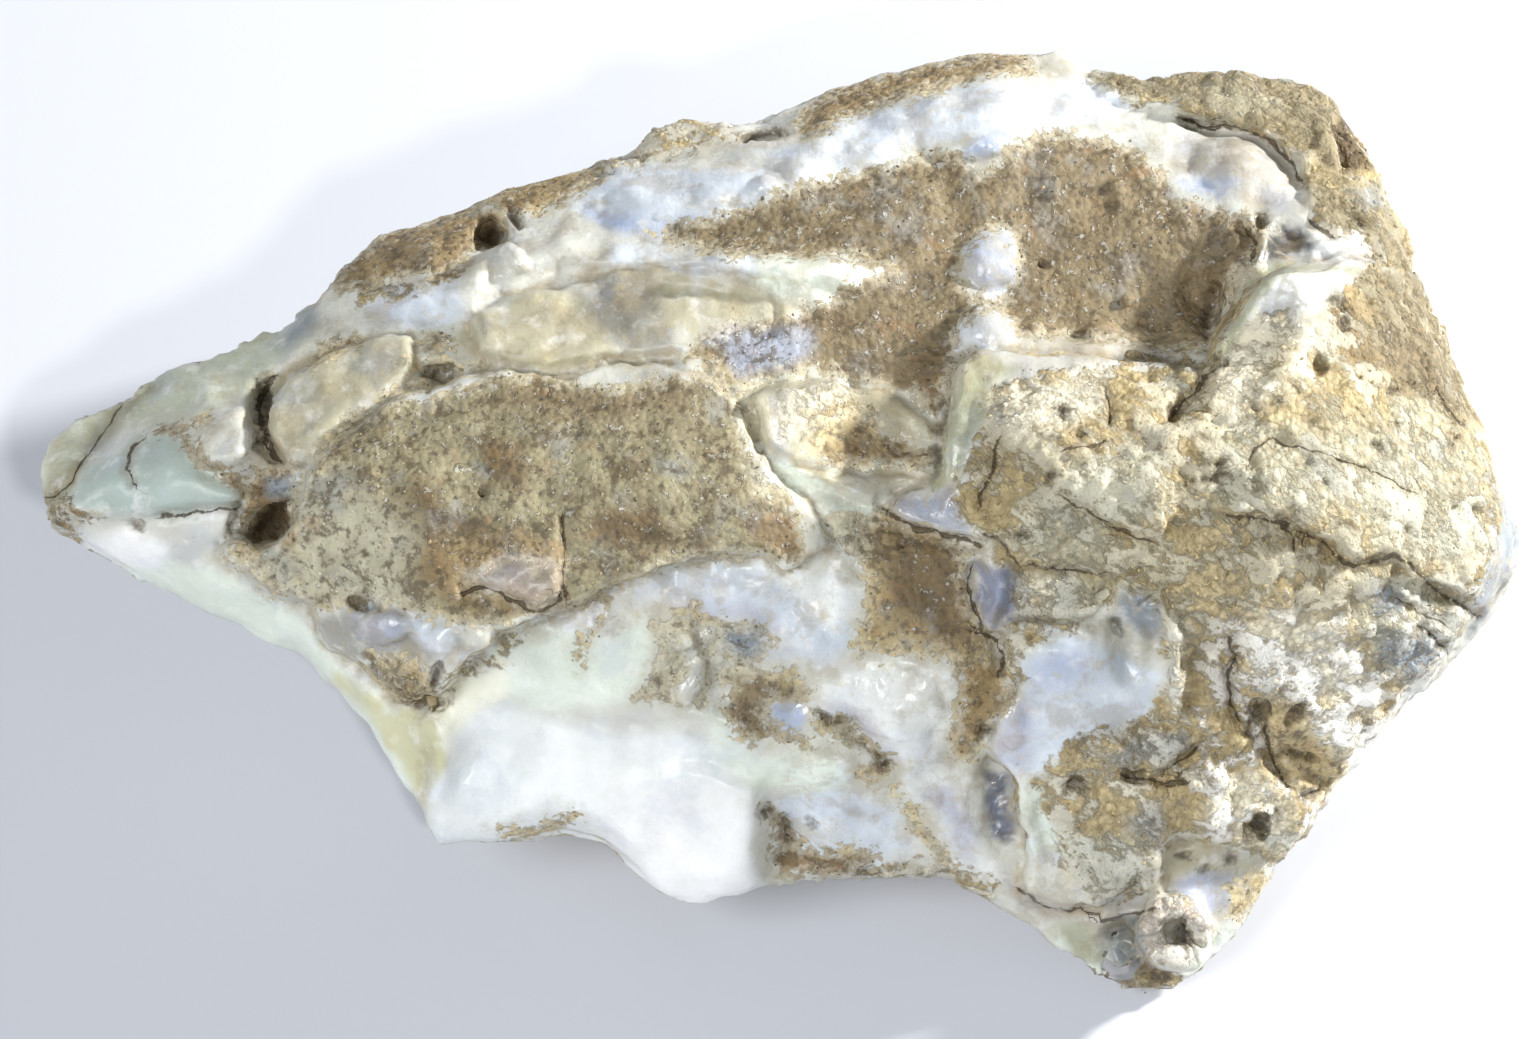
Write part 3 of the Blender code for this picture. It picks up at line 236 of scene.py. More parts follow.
# The opal's own tint: (tint, outline, softness in mm), painted one over the other on pale green.
bodyPaint = [
    ("oliveGray", [(-37.5, 1.5), (-36.5, 4.5), (-33.0, 6.5), (-29.4, 8.6), (-26.5, 9.4), (-24.4, 10.2),
        (-22.6, 10.6), (-22.6, 9.0), (-24.2, 7.6), (-25.4, 6.2), (-28.0, 5.2), (-30.0, 4.7), (-32.4, 4.6),
        (-33.6, 3.2), (-35.0, 1.2), (-36.0, 0.6)], 0.7),
    ("grayGreen", [(-32.0, 6.4), (-29.4, 8.6), (-26.5, 9.4), (-24.4, 10.2), (-24.2, 8.4), (-26.4, 6.8),
        (-29.0, 5.6), (-31.4, 5.4)], 0.8),
    # painted shade: a soft darker olive band along the arris of the thin end
    ("paintedArrisShadeOlive", [(-36.6, 0.4), (-35.0, 1.0), (-33.2, 3.6), (-31.4, 5.6), (-30.2, 6.8), (-31.2, 6.8),
        (-33.4, 5.0), (-34.8, 2.8), (-36.4, 1.4)], 0.8),
    ("seaGreen", [(-35.0, 1.0), (-33.4, 2.8), (-31.5, 4.2), (-30.0, 4.4), (-28.5, 3.5), (-27.0, 2.0),
        (-26.0, 1.5), (-26.2, 0.6), (-30.0, 0.1), (-33.0, 0.1)], 0.7),
    ("slate", [(-24.6, 8.8), (-23.6, 10.0), (-22.4, 10.6), (-22.6, 9.4), (-23.6, 8.4)], 1.2),
    ("paleGreen", [(-35.0, -1.2), (-26.6, -2.8), (-22.8, -5.2), (-20.0, -8.4), (-17.8, -9.6), (-16.4, -15.0),
        (-18.4, -13.0), (-24.0, -7.4), (-34.4, -2.0)], 0.7),
    ("snow", [(-34.2, -0.8), (-32.6, -2.2), (-30.4, -2.6), (-29.8, -1.4), (-31.4, -0.6)], 0.8),
    ("milkBlue", [(-20.0, 10.6), (-18.4, 11.7), (-15.0, 11.9), (-14.6, 10.2), (-16.4, 9.4),
        (-18.4, 9.8)], 0.6),
    # smooth cream lumps
    ("paleSand", [(-25.2, 4.9), (-24.0, 7.4), (-21.6, 8.4), (-17.4, 9.4), (-16.8, 7.8), (-20.0, 5.8),
        (-21.8, 3.4), (-24.0, 3.2)], 0.6),
    ("stoneMilk", [(-23.8, 5.8), (-22.6, 6.4), (-21.4, 5.6), (-22.8, 4.2), (-23.8, 4.6)], 1.2),
    ("warmGray", [(-21.0, 7.8), (-19.4, 8.6), (-18.2, 8.0), (-19.4, 6.8)], 1.2),
    ("duskyMilk", [(-28.8, 4.0), (-27.8, 5.4), (-25.2, 5.8), (-24.8, 4.0), (-24.2, 2.8), (-27.8, 3.2)], 0.5),
    ("paleSand", [(-14.6, 10.4), (-10.0, 11.6), (-7.4, 12.3), (-3.0, 12.5), (2.4, 10.8), (-2.4, 9.2),
        (-5.2, 8.1), (-10.5, 7.5), (-15.2, 8.6)], 0.8),
    ("dimGray", [(-9.0, 10.0), (-8.4, 11.8), (-5.6, 12.2), (-4.8, 10.6), (-6.8, 9.0)], 1.6),
    ("stoneMilk", [(-5.6, 8.8), (-4.6, 9.4), (-2.6, 9.4), (-3.4, 8.4), (-5.0, 8.3)], 0.8),
    ("paleSand", [(-1.6, 6.0), (1.6, 7.2), (4.8, 6.6), (7.6, 6.0), (8.8, 4.6), (8.3, 3.6), (6.2, 4.2),
        (3.0, 5.2), (2.0, 3.8), (3.0, 2.6), (8.2, 2.5), (6.2, 1.5), (3.6, 1.5), (0.4, 3.2),
        (-0.6, 4.4)], 0.5),
    ("warmGray", [(0.6, 3.2), (0.4, 6.2), (2.6, 6.8), (4.0, 6.2), (1.8, 5.0), (1.6, 3.6)], 0.8),
    # far and right edges
    ("stoneMilk", [(10.4, 0.0), (11.0, 6.8), (22.0, 7.6), (30.0, 12.0), (36.0, 6.0), (37.0, -2.0),
        (31.0, -4.4), (20.0, -4.8), (12.0, -3.0)], 1.5),
    # painted shade: the far right faces are painted a darker tan
    ("cornerTanWithPaintedShade", [(16.4, 22.2), (18.4, 23.2), (28.4, 23.0), (31.2, 19.6), (34.0, 12.8), (31.0, 12.8),
        (28.4, 15.0), (26.8, 18.8), (22.0, 20.6)], 1.0),
    ("cream", [(22.8, 8.0), (24.6, 10.0), (27.6, 9.6), (27.8, 6.0), (23.4, 4.8)], 1.4),
    # painted shade: darker tan on the right rim
    ("cornerTanWithPaintedShade", [(29.6, 12.4), (33.6, 13.2), (35.2, 9.0), (36.8, 4.6), (32.4, 5.0), (30.2, 8.2)], 1.4),
    # painted light: near-white laid on the block's lower right faces so they look as brightly lit as the rest
    ("snow", [(22.6, -4.6), (29.0, -5.0), (31.4, -8.0), (31.0, -11.6), (27.4, -15.2), (22.0, -16.0),
        (21.6, -10.0)], 1.4),
    ("duskyMilk", [(-15.2, 11.6), (-14.4, 13.4), (-12.6, 13.4), (-11.2, 14.9), (-8.6, 14.8), (-6.2, 14.2),
        (-6.0, 12.9), (-8.4, 12.3), (-12.4, 11.8), (-14.6, 10.4)], 0.6),
    ("milkBlue", [(-7.4, 13.9), (-5.2, 13.9), (-2.6, 13.3), (0.4, 12.9), (-0.6, 12.2), (-3.6, 12.5),
        (-7.4, 12.7)], 0.8),
    ("paleGreen", [(-0.6, 12.9), (3.0, 13.2), (5.8, 12.6), (6.0, 11.6), (3.0, 10.8), (0.6, 11.2),
        (-0.6, 12.0)], 0.8),
    ("milkBlue", [(-9.6, 15.4), (-7.6, 17.3), (-5.0, 18.0), (0.0, 17.8), (2.6, 18.4), (2.8, 17.3),
        (1.0, 16.1), (-1.0, 15.3), (-5.0, 14.1), (-7.5, 14.9)], 0.7),
    ("deepBlue", [(-9.0, 15.6), (-7.4, 15.6), (-4.4, 14.9), (-2.6, 15.4), (-4.4, 14.1), (-7.2, 14.6)], 0.9),
    ("duskyMilk", [(-5.2, 17.9), (-3.0, 19.0), (-0.6, 19.1), (0.2, 18.4), (-2.0, 17.7)], 0.8),
    ("milkBlue", [(0.0, 18.9), (2.5, 18.7), (4.0, 20.1), (8.0, 21.3), (12.0, 22.2), (16.4, 22.2),
        (19.0, 20.7), (16.0, 19.9), (13.0, 19.8), (8.0, 19.3), (6.0, 18.2), (4.0, 17.4), (1.5, 17.2)], 0.7),
    ("milkBlue", [(3.4, 18.4), (6.0, 18.6), (9.6, 19.9), (13.6, 20.4), (16.8, 20.6), (14.0, 19.7),
        (9.0, 19.3), (5.8, 17.7), (4.0, 17.5)], 0.7),
    ("deepBlue", [(10.3, 18.6), (10.9, 19.3), (12.4, 19.4), (12.6, 18.5), (11.4, 18.1)], 0.8),
    ("paleBlue", [(9.9, 12.3), (10.2, 13.7), (11.6, 14.7), (12.9, 14.3), (12.9, 12.8), (12.3, 11.3),
        (11.2, 11.0)], 0.6),
    ("milkBlue", [(9.6, 8.3), (9.9, 9.8), (11.0, 10.7), (12.4, 10.3), (13.0, 9.2), (12.0, 8.2)], 0.6),
    ("shadedMilk", [(12.6, 8.2), (13.4, 9.4), (18.0, 9.2), (21.4, 8.4), (21.6, 7.6), (18.0, 7.4),
        (12.4, 7.2)], 0.7),
    ("shadedMilk", [(19.6, 18.2), (20.6, 19.6), (22.6, 19.8), (25.0, 19.4), (26.6, 18.2), (27.2, 16.2),
        (26.4, 15.4), (24.2, 16.0), (22.0, 17.2)], 0.8),
    ("deepBlue", [(21.2, 17.2), (22.4, 17.3), (23.8, 16.8), (23.2, 16.2), (21.8, 16.2)], 0.8),
    # painted shade: the facet on the far right is painted dark grey for the shade it lies in
    ("paintedShadeGray", [(25.2, 13.0), (25.4, 14.8), (27.4, 14.8), (28.0, 13.6), (26.8, 13.0)], 0.7),
    ("milk", [(27.4, 13.2), (28.2, 14.4), (30.0, 14.3), (30.6, 13.2), (29.2, 13.0)], 0.6),
    ("oliveMilk", [(22.2, 7.8), (22.8, 9.6), (24.0, 11.8), (25.2, 12.8), (31.4, 12.9), (29.0, 12.2),
        (26.0, 11.9), (24.6, 10.6), (23.6, 8.8)], 0.5),
    ("milk", [(25.2, 10.6), (26.0, 12.2), (28.6, 12.4), (29.4, 11.8), (28.0, 11.4), (27.6, 10.2),
        (25.8, 10.2)], 0.7),
    ("oliveMilk", [(8.3, 2.2), (9.0, 4.2), (9.6, 6.4), (10.6, 8.2), (13.0, 7.6), (11.6, 6.6), (10.8, 4.8),
        (10.2, 2.6), (9.0, 1.6)], 0.5),
    ("blueSand", [(6.4, 0.6), (7.2, 1.3), (9.8, 1.8), (10.2, 0.6), (10.6, -1.0), (8.4, -0.4)], 0.5),
    ("violetGray", [(10.6, -2.0), (12.4, -2.2), (12.7, -3.6), (12.3, -5.0), (11.4, -5.8),
        (10.6, -3.8)], 0.5),
    ("paleGreen", [(0.0, 3.1), (2.4, 2.3), (5.2, 1.0), (6.2, 0.3), (3.4, 0.0), (2.2, 0.6), (0.6, 2.2)], 0.5),
    # blue at the foot of the front plate
    ("lilac", [(-11.2, -5.0), (-9.4, -4.8), (-7.6, -3.8), (-7.8, -4.6), (-9.0, -6.4), (-10.4, -6.4)], 0.9),
    ("milkBlue", [(-6.8, -3.8), (-4.6, -2.6), (-2.0, -2.0), (1.2, -2.6), (3.6, -2.8), (4.6, -4.0),
        (4.8, -6.0), (3.4, -7.2), (1.4, -6.4), (0.6, -5.2), (-2.4, -4.6), (-4.4, -3.9)], 0.8),
    ("lilac", [(-4.6, -3.6), (-1.8, -4.2), (0.8, -5.0), (1.4, -6.6), (0.4, -6.6), (-0.2, -5.2),
        (-3.2, -4.6)], 0.9),
    ("milk", [(-1.6, -2.2), (1.4, -3.4), (3.6, -5.6), (4.2, -4.0), (3.4, -2.9), (0.6, -2.2)], 0.9),
    ("milk", [(3.0, -8.0), (5.4, -7.2), (9.6, -7.0), (9.7, -10.2), (9.0, -12.0), (7.4, -12.2), (5.4, -10.8),
        (4.6, -9.6)], 0.8),
    ("lilac", [(3.0, -8.8), (4.4, -8.8), (6.2, -10.6), (7.0, -12.0), (5.6, -11.0), (3.6, -9.8)], 0.9),
    ("deepBlue", [(0.5, -9.4), (2.3, -9.0), (2.5, -10.4), (1.6, -10.7), (0.6, -10.0)], 0.5),
    ("paleGreen", [(-13.6, -6.0), (-10.0, -5.0), (-7.6, -6.0), (-5.2, -5.2), (-5.4, -7.6), (-8.0, -9.4),
        (-11.0, -9.6), (-13.4, -8.2)], 1.2),
    # white slope
    ("brightMilk", [(-15.6, -9.6), (-13.2, -9.0), (-9.4, -10.4), (-5.6, -10.6), (-2.0, -11.4), (-0.2, -13.4),
        (0.1, -19.4), (-4.0, -20.0), (-8.2, -16.4), (-12.0, -17.0), (-16.8, -17.0), (-16.4, -13.6)], 1.2),
    # painted light: the brightest, washed-out white at the foot of the slope
    ("snow", [(-7.4, -13.0), (-3.0, -13.0), (-0.4, -15.0), (0.0, -19.4), (-4.0, -20.0), (-8.2, -16.4)], 2.0),
    ("butter", [(-17.0, -9.0), (-14.6, -7.8), (-13.0, -7.2), (-12.6, -8.6), (-14.4, -9.8), (-15.6, -11.8),
        (-16.0, -10.4)], 0.9),
    ("oliveBeige", [(-21.4, -7.4), (-19.8, -8.8), (-18.6, -9.6), (-18.9, -10.6), (-20.4, -9.4),
        (-21.8, -8.2)], 0.8),
    ("oliveBeige", [(-18.9, -10.0), (-17.3, -9.4), (-16.3, -10.0), (-15.7, -11.0), (-15.7, -12.0),
        (-16.0, -13.0), (-16.6, -14.4), (-17.8, -12.6), (-18.8, -11.2)], 0.5),
    ("paleGreen", [(-2.8, -9.4), (0.0, -11.6), (3.4, -11.4), (5.0, -13.0), (2.6, -14.2), (-0.4, -13.2),
        (-2.4, -11.4)], 1.2),
    ("milkBlue", [(0.2, -13.6), (3.8, -13.4), (6.6, -14.4), (8.0, -16.6), (5.0, -17.2), (1.6, -17.6)], 1.2),
    ("milk", [(6.8, -12.6), (9.0, -12.2), (10.6, -13.2), (11.4, -16.4), (12.2, -18.4), (10.4, -18.2),
        (8.8, -15.6)], 0.9),
    ("lilac", [(8.2, -13.6), (9.8, -13.4), (10.6, -15.4), (10.8, -17.4), (9.6, -16.2)], 1.0),
    # lower right block
    ("milkBlue", [(13.0, -7.0), (14.8, -5.8), (16.5, -6.0), (17.8, -6.8), (19.9, -7.8), (19.4, -9.7),
        (17.0, -10.5), (15.0, -11.3), (13.9, -12.6), (12.4, -12.6), (12.0, -10.4), (12.9, -8.7)], 0.6),
    ("lilac", [(12.0, -10.0), (12.8, -9.0), (13.6, -9.4), (13.4, -11.0), (12.8, -12.6), (11.8, -11.8)], 0.7),
    ("paleBlue", [(13.6, -7.0), (15.2, -6.4), (16.4, -7.0), (15.0, -8.2), (13.6, -8.2)], 1.2),
    # painted shade in the valley at the foot of the raised block
    ("paintedGrooveShade", [(11.2, -12.4), (12.4, -12.8), (12.9, -14.6), (12.9, -16.4), (11.8, -16.2),
        (11.3, -14.2)], 0.5),
    ("paleGreen", [(13.0, -12.8), (13.9, -13.0), (14.8, -15.4), (15.2, -17.0), (13.6, -16.8),
        (13.2, -14.6)], 0.6),
    ("slate", [(17.6, -3.8), (18.8, -3.2), (19.9, -4.0), (19.9, -5.6), (19.2, -6.2), (18.2, -5.2)], 0.6),
    ("shadedMilk", [(12.4, -17.6), (13.6, -18.6), (16.0, -19.6), (18.4, -18.8), (20.2, -19.4), (16.8, -20.4),
        (14.0, -19.9), (12.2, -18.8)], 0.6),
    ("graySand", [(20.2, -15.7), (22.0, -15.6), (23.2, -16.0), (25.8, -17.2), (24.6, -18.0), (22.0, -17.4),
        (20.2, -18.0)], 0.8),
    ("blueSand", [(20.4, -18.0), (22.4, -17.6), (24.2, -17.8), (23.4, -19.6), (22.2, -20.2),
        (21.0, -19.2)], 0.7),
    # dark glassy opal in the bowl, with painted shade in its hollow
    ("darkGlassAndBowlShade", [(17.2, -20.4), (18.0, -19.9), (19.3, -20.0), (19.4, -21.6), (19.4, -22.6),
        (17.8, -22.4)], 0.7),
    ("paleGreen", [(15.6, -20.6), (16.8, -20.4), (17.2, -22.2), (18.6, -23.2), (17.4, -24.0), (15.6, -22.4),
        (13.4, -20.6)], 0.6),
    ("oliveMilk", [(15.0, -20.2), (16.8, -20.2), (17.4, -21.6), (17.4, -22.6), (16.2, -22.4)], 0.6),
    ("umber", [(17.6, -22.6), (19.4, -22.2), (20.6, -22.8), (20.6, -23.6), (18.6, -23.8)], 0.4),
    ("paleGreen", [(22.6, -20.6), (24.2, -20.4), (24.6, -21.0), (22.6, -23.0), (20.8, -24.0),
        (21.2, -22.8)], 0.7),
    # right-hand edge
    ("slate", [(36.0, 3.0), (37.0, 3.2), (38.4, -0.5), (37.6, -3.0), (35.8, -5.8), (35.0, -6.2), (36.2, -3.4),
        (36.6, -0.6)], 1.0),
    # flake and nodules on the plate's lower edge
    ("pinkBrown", [(-15.0, -3.4), (-13.2, -2.2), (-11.4, -1.6), (-9.8, -2.2), (-9.8, -4.0), (-10.9, -4.6),
        (-12.7, -3.9)], 0.4),
    ("roseGray", [(-13.6, -2.9), (-11.8, -2.1), (-10.4, -2.4), (-10.4, -3.8), (-12.2, -3.4)], 0.6),
    ("warmGray", [(-22.2, -5.2), (-21.6, -6.2), (-20.2, -7.0), (-18.4, -6.8), (-16.4, -7.4), (-14.2, -6.4),
        (-15.4, -5.2), (-19.8, -4.4)], 0.6),
    ("blueSand", [(-20.4, -5.0), (-19.8, -4.4), (-17.9, -4.5), (-17.2, -5.2), (-18.0, -6.3),
        (-19.8, -6.3)], 0.8),
    ("milkBlue", [(-17.4, -5.4), (-16.4, -5.0), (-15.0, -5.4), (-14.8, -6.3), (-15.4, -7.0),
        (-16.8, -6.6)], 0.8),
]

# Tint of whatever covers the opal: (tint, outline, softness), painted one over the other on tan.
coverPaint = [
    ("tan", [(-30.0, 9.0), (30.0, 9.0), (30.0, -9.0), (-30.0, -9.0)], 1.0),
    ("hollowSand", [(-6.0, 13.0), (-4.0, 15.6), (2.4, 17.6), (8.2, 19.0), (14.8, 20.2), (20.0, 18.4),
        (25.6, 15.6), (25.6, 12.6), (22.6, 8.0), (14.0, 8.4), (9.2, 4.6), (7.9, 6.3), (0.0, 7.0), (-3.0, 8.4),
        (2.4, 11.0), (5.4, 12.6)], 1.5),
    # painted shade: the deep spot of the long hollow is painted dark
    ("darkSand", [(20.8, 12.8), (23.0, 13.0), (24.2, 12.4), (22.8, 9.8), (21.8, 9.4), (21.6, 11.4)], 1.2),
    # painted shade: dark sand at the foot of the lip's wall
    ("darkSand", [(6.4, 6.8), (8.6, 8.4), (10.0, 8.6), (9.4, 6.4), (8.8, 4.6), (8.0, 6.2)], 1.2),
    ("blueSand", [(-3.4, 8.8), (-0.6, 9.8), (2.4, 9.4), (2.6, 8.2), (-1.0, 7.2)], 1.2),
    ("brown", [(-22.4, 11.4), (-19.4, 14.6), (-14.4, 16.0), (-12.6, 15.4), (-14.6, 12.2),
        (-19.5, 11.4)], 0.8),
    ("darkSand", [(-24.0, 12.4), (-20.8, 13.6), (-19.6, 13.8), (-21.4, 11.2), (-22.6, 10.6)], 0.8),
    ("brown", [(-15.4, 16.6), (-9.5, 18.2), (-7.4, 18.0), (-9.6, 16.2), (-12.6, 15.4)], 0.8),
    ("brown", [(1.6, 19.4), (3.4, 22.4), (8.4, 24.0), (15.0, 24.4), (13.0, 22.4), (7.6, 21.4),
        (3.8, 19.5)], 0.8),
    ("graySand", [(-23.4, 2.4), (-19.6, 3.0), (-17.4, 0.6), (-15.8, -2.4), (-16.4, -4.6), (-23.0, -4.2),
        (-26.6, -2.0), (-24.0, -0.8)], 1.6),
    ("plateSand", [(-22.0, 5.0), (-14.0, 7.6), (-2.0, 7.4), (1.0, 2.0), (3.0, -2.0), (-6.2, -3.4),
        (-10.0, -5.0), (-17.0, -5.0), (-17.4, 0.6), (-20.0, 2.6)], 2.5),
    ("darkSand", [(-8.2, 0.2), (-5.4, 0.6), (-4.4, -1.0), (-7.2, -1.8), (-8.4, -0.8)], 1.2),
    ("darkSand", [(-1.0, 0.0), (1.6, 0.0), (1.9, -2.2), (0.6, -2.0), (-0.6, -1.2)], 1.0),
    ("darkSand", [(-13.8, 3.6), (-11.6, 3.6), (-11.4, 1.8), (-13.6, 1.9)], 1.4),
    ("darkSand", [(-16.8, 2.2), (-15.4, 0.4), (-13.4, 0.2), (-13.8, -0.8), (-16.2, -0.6),
        (-17.2, 1.2)], 1.2),
    ("brown", [(-16.8, -1.2), (-12.6, -0.4), (-9.8, -1.2), (-9.8, -4.6), (-15.0, -4.2), (-17.0, -2.8)], 1.2),
    ("pinkBrown", [(-14.6, -2.6), (-12.4, -1.8), (-10.2, -1.8), (-9.9, -3.8), (-11.0, -4.4),
        (-12.8, -3.7)], 0.6),
    ("hollowSand", [(-12.8, 7.2), (-8.0, 6.6), (-5.0, 6.8), (-2.0, 6.6), (-4.4, 5.0), (-9.6, 5.2),
        (-13.2, 5.6)], 2.4),
    ("cream", [(-1.6, 6.0), (1.6, 7.2), (4.8, 6.6), (3.0, 5.2), (2.0, 3.8), (3.0, 2.6), (0.4, 3.2),
        (-0.6, 4.4)], 0.8),
    ("cream", [(5.8, 5.6), (7.5, 6.0), (8.8, 4.6), (8.2, 3.6), (6.2, 4.2)], 0.5),
    ("ochre", [(2.2, 3.4), (2.6, 5.2), (4.6, 5.7), (6.0, 5.2), (6.2, 4.2), (8.4, 3.7), (8.2, 2.5),
        (3.6, 2.6)], 0.7),
    ("brown", [(5.0, 4.2), (7.6, 3.9), (8.6, 3.4), (8.3, 2.7), (3.6, 2.8), (3.2, 3.6)], 0.9),
    ("cream", [(3.4, 2.5), (8.2, 2.5), (6.2, 1.5), (4.2, 1.6)], 0.4),
    # brown window
    ("darkSand", [(6.6, 0.2), (8.2, -0.6), (10.4, -1.6), (10.6, -4.6), (11.4, -6.2), (8.6, -6.2), (6.0, -4.2),
        (6.4, -1.6)], 1.6),
    ("graySand", [(2.6, -0.4), (4.0, 0.4), (6.0, 0.2), (5.8, -1.6), (4.6, -2.2), (2.6, -1.4)], 0.8),
    ("brown", [(9.8, -7.2), (12.2, -7.4), (12.4, -9.2), (11.2, -10.6), (10.6, -12.2), (9.4, -11.6)], 0.8),
    ("graySand", [(-6.4, -9.2), (-4.8, -4.6), (-1.4, -4.6), (1.2, -6.2), (0.0, -8.0), (-2.8, -9.4)], 0.8),
    ("slate", [(-1.8, -5.2), (0.6, -5.4), (0.4, -6.6), (-0.6, -7.4), (-1.8, -6.6)], 0.8),
    ("hollowSand", [(-1.6, -8.2), (2.8, -7.8), (2.6, -11.2), (-0.4, -11.6), (-1.8, -9.8)], 0.9),
    ("darkSand", [(2.7, -9.6), (4.2, -9.6), (6.9, -11.8), (6.5, -13.0), (5.2, -12.6), (4.4, -10.8)], 0.8),
    ("darkSand", [(0.0, -14.0), (2.0, -15.4), (3.0, -16.6), (6.2, -16.4), (6.0, -17.6), (0.8, -18.4),
        (0.6, -15.8)], 0.8),
    # right block
    ("tan", [(11.0, 5.0), (12.6, 6.9), (21.6, 7.6), (24.0, 5.0), (22.0, 0.0), (19.8, -2.0), (13.2, -2.4),
        (11.4, 0.0), (10.4, 2.6)], 1.6),
    ("cream", [(11.4, 5.2), (12.8, 6.8), (16.6, 7.0), (17.2, 5.6), (15.2, 4.4), (12.4, 4.4)], 1.2),
    ("paleSand", [(14.6, 1.4), (15.2, 3.1), (18.0, 3.5), (19.9, 2.8), (20.0, 0.4), (18.4, -0.3),
        (16.0, 0.6)], 0.8),
    ("graySand", [(12.8, -0.4), (14.6, 1.2), (17.4, -0.4), (17.2, -2.2), (13.4, -2.2)], 1.2),
    ("graySand", [(12.6, -2.8), (17.4, -2.6), (17.2, -4.0), (15.2, -5.0), (12.6, -4.9)], 1.2),
    ("cream", [(12.6, -3.0), (15.4, -3.0), (15.6, -4.6), (13.6, -5.0), (12.8, -4.8)], 0.8),
    ("ochre", [(12.9, -4.2), (13.5, -3.8), (14.4, -4.4), (13.6, -4.9), (12.9, -4.8)], 0.8),
    ("cream", [(22.8, 8.0), (24.6, 10.4), (27.6, 10.4), (28.8, 9.0), (27.0, 6.4), (23.4, 5.4)], 1.6),
    ("ochre", [(25.4, 9.2), (27.4, 8.6), (28.8, 6.6), (27.4, 5.8), (24.8, 7.4)], 1.4),
    ("brown", [(28.2, 11.4), (29.4, 11.4), (30.4, 9.6), (31.4, 7.0), (30.0, 6.6), (28.8, 8.4)], 1.4),
    # painted shade: darker tan on the right rim
    ("cornerTanWithPaintedShade", [(30.0, 12.4), (33.6, 12.6), (34.8, 9.0), (36.0, 5.4), (33.0, 5.2), (30.6, 8.2)], 1.6),
    ("hollowSand", [(31.0, 10.0), (33.0, 9.8), (34.8, 6.8), (33.2, 6.0), (31.4, 7.6)], 1.6),
    ("paleSand", [(31.4, 5.8), (33.6, 6.0), (34.8, 4.8), (33.4, 4.2), (31.4, 4.6)], 1.2),
    ("graySand", [(23.0, 5.0), (30.0, 4.6), (35.6, 4.0), (36.2, 1.0), (31.0, 1.0), (26.0, -0.2),
        (22.0, 0.4)], 1.8),
    ("graySand", [(26.6, 3.2), (30.2, 3.4), (35.0, 3.6), (35.4, 1.8), (30.6, 1.4), (28.0, 1.8)], 1.4),
    ("paleSand", [(29.6, 0.8), (35.6, 1.2), (36.6, -1.0), (34.0, -2.2), (30.6, -1.4)], 1.4),
    ("graySand", [(24.6, 2.8), (25.8, 3.2), (26.2, 2.0), (24.6, 1.6)], 0.9),
    ("ochre", [(19.8, -2.4), (23.4, 0.2), (25.4, -1.6), (29.6, -2.6), (27.4, -5.6), (21.0, -6.0)], 1.8),
    ("graySand", [(29.6, -2.6), (34.6, -3.2), (36.4, -5.0), (33.2, -9.4), (30.4, -6.8), (29.4, -4.6)], 1.6),
    ("slate", [(30.2, -3.0), (32.2, -3.2), (31.8, -4.6), (30.4, -4.6)], 0.8),
    ("slate", [(30.8, -5.4), (33.6, -5.6), (34.6, -7.2), (32.6, -7.8), (30.6, -6.8)], 1.2),
    ("cream", [(24.0, -4.6), (28.6, -5.2), (30.4, -8.0), (31.0, -10.6), (27.6, -8.6), (24.0, -7.6)], 1.6),
    ("cream", [(20.4, -4.4), (21.4, -5.4), (21.6, -8.6), (20.6, -10.0), (20.0, -7.0)], 0.8),
    ("tan", [(21.4, -5.0), (23.4, -5.2), (23.8, -9.2), (22.0, -10.4), (21.0, -8.2)], 1.2),
    ("cream", [(27.4, -9.0), (30.8, -11.0), (29.8, -12.0), (27.6, -10.8)], 0.9),
    ("tan", [(24.2, -9.2), (25.6, -8.5), (27.2, -9.0), (28.2, -10.8), (29.8, -12.4), (28.2, -14.2),
        (25.6, -12.4)], 1.0),
    ("cream", [(22.6, -12.8), (25.0, -12.4), (26.6, -14.0), (26.6, -17.0), (23.6, -15.8),
        (22.0, -14.8)], 1.2),
    ("ochre", [(14.0, -13.0), (15.6, -11.4), (18.0, -10.2), (18.6, -12.4), (20.6, -13.2), (19.4, -15.0),
        (15.0, -15.4)], 1.0),
    ("warmGray", [(17.4, -11.6), (19.0, -10.9), (21.6, -11.0), (21.2, -11.8), (19.8, -12.4),
        (17.8, -12.2)], 0.7),
    ("warmGray", [(18.0, -14.6), (19.8, -14.4), (20.0, -16.0), (18.2, -15.8)], 0.9),
    ("paleSand", [(15.2, -15.8), (18.8, -15.8), (19.6, -18.6), (16.0, -18.8)], 1.2),
    # far right corner
    # painted shade: the same facet, painted dark in its covering too
    ("darkSand", [(25.2, 13.0), (25.4, 14.8), (27.4, 14.8), (28.0, 13.6), (26.8, 13.0)], 0.5),
    # painted shade: darker tan on the far corner
    ("cornerTanWithPaintedShade", [(16.4, 22.0), (18.4, 23.0), (28.4, 22.8), (31.0, 19.6), (28.8, 17.4), (26.4, 19.4),
        (20.6, 21.0)], 1.2),
    ("graySand", [(22.4, 22.2), (26.6, 21.2), (26.4, 20.6), (22.8, 20.8)], 0.9),
    ("darkSand", [(28.8, 20.0), (30.4, 19.0), (31.4, 17.6), (29.4, 17.6)], 0.8),
    # painted shade: darker tan on the far corner
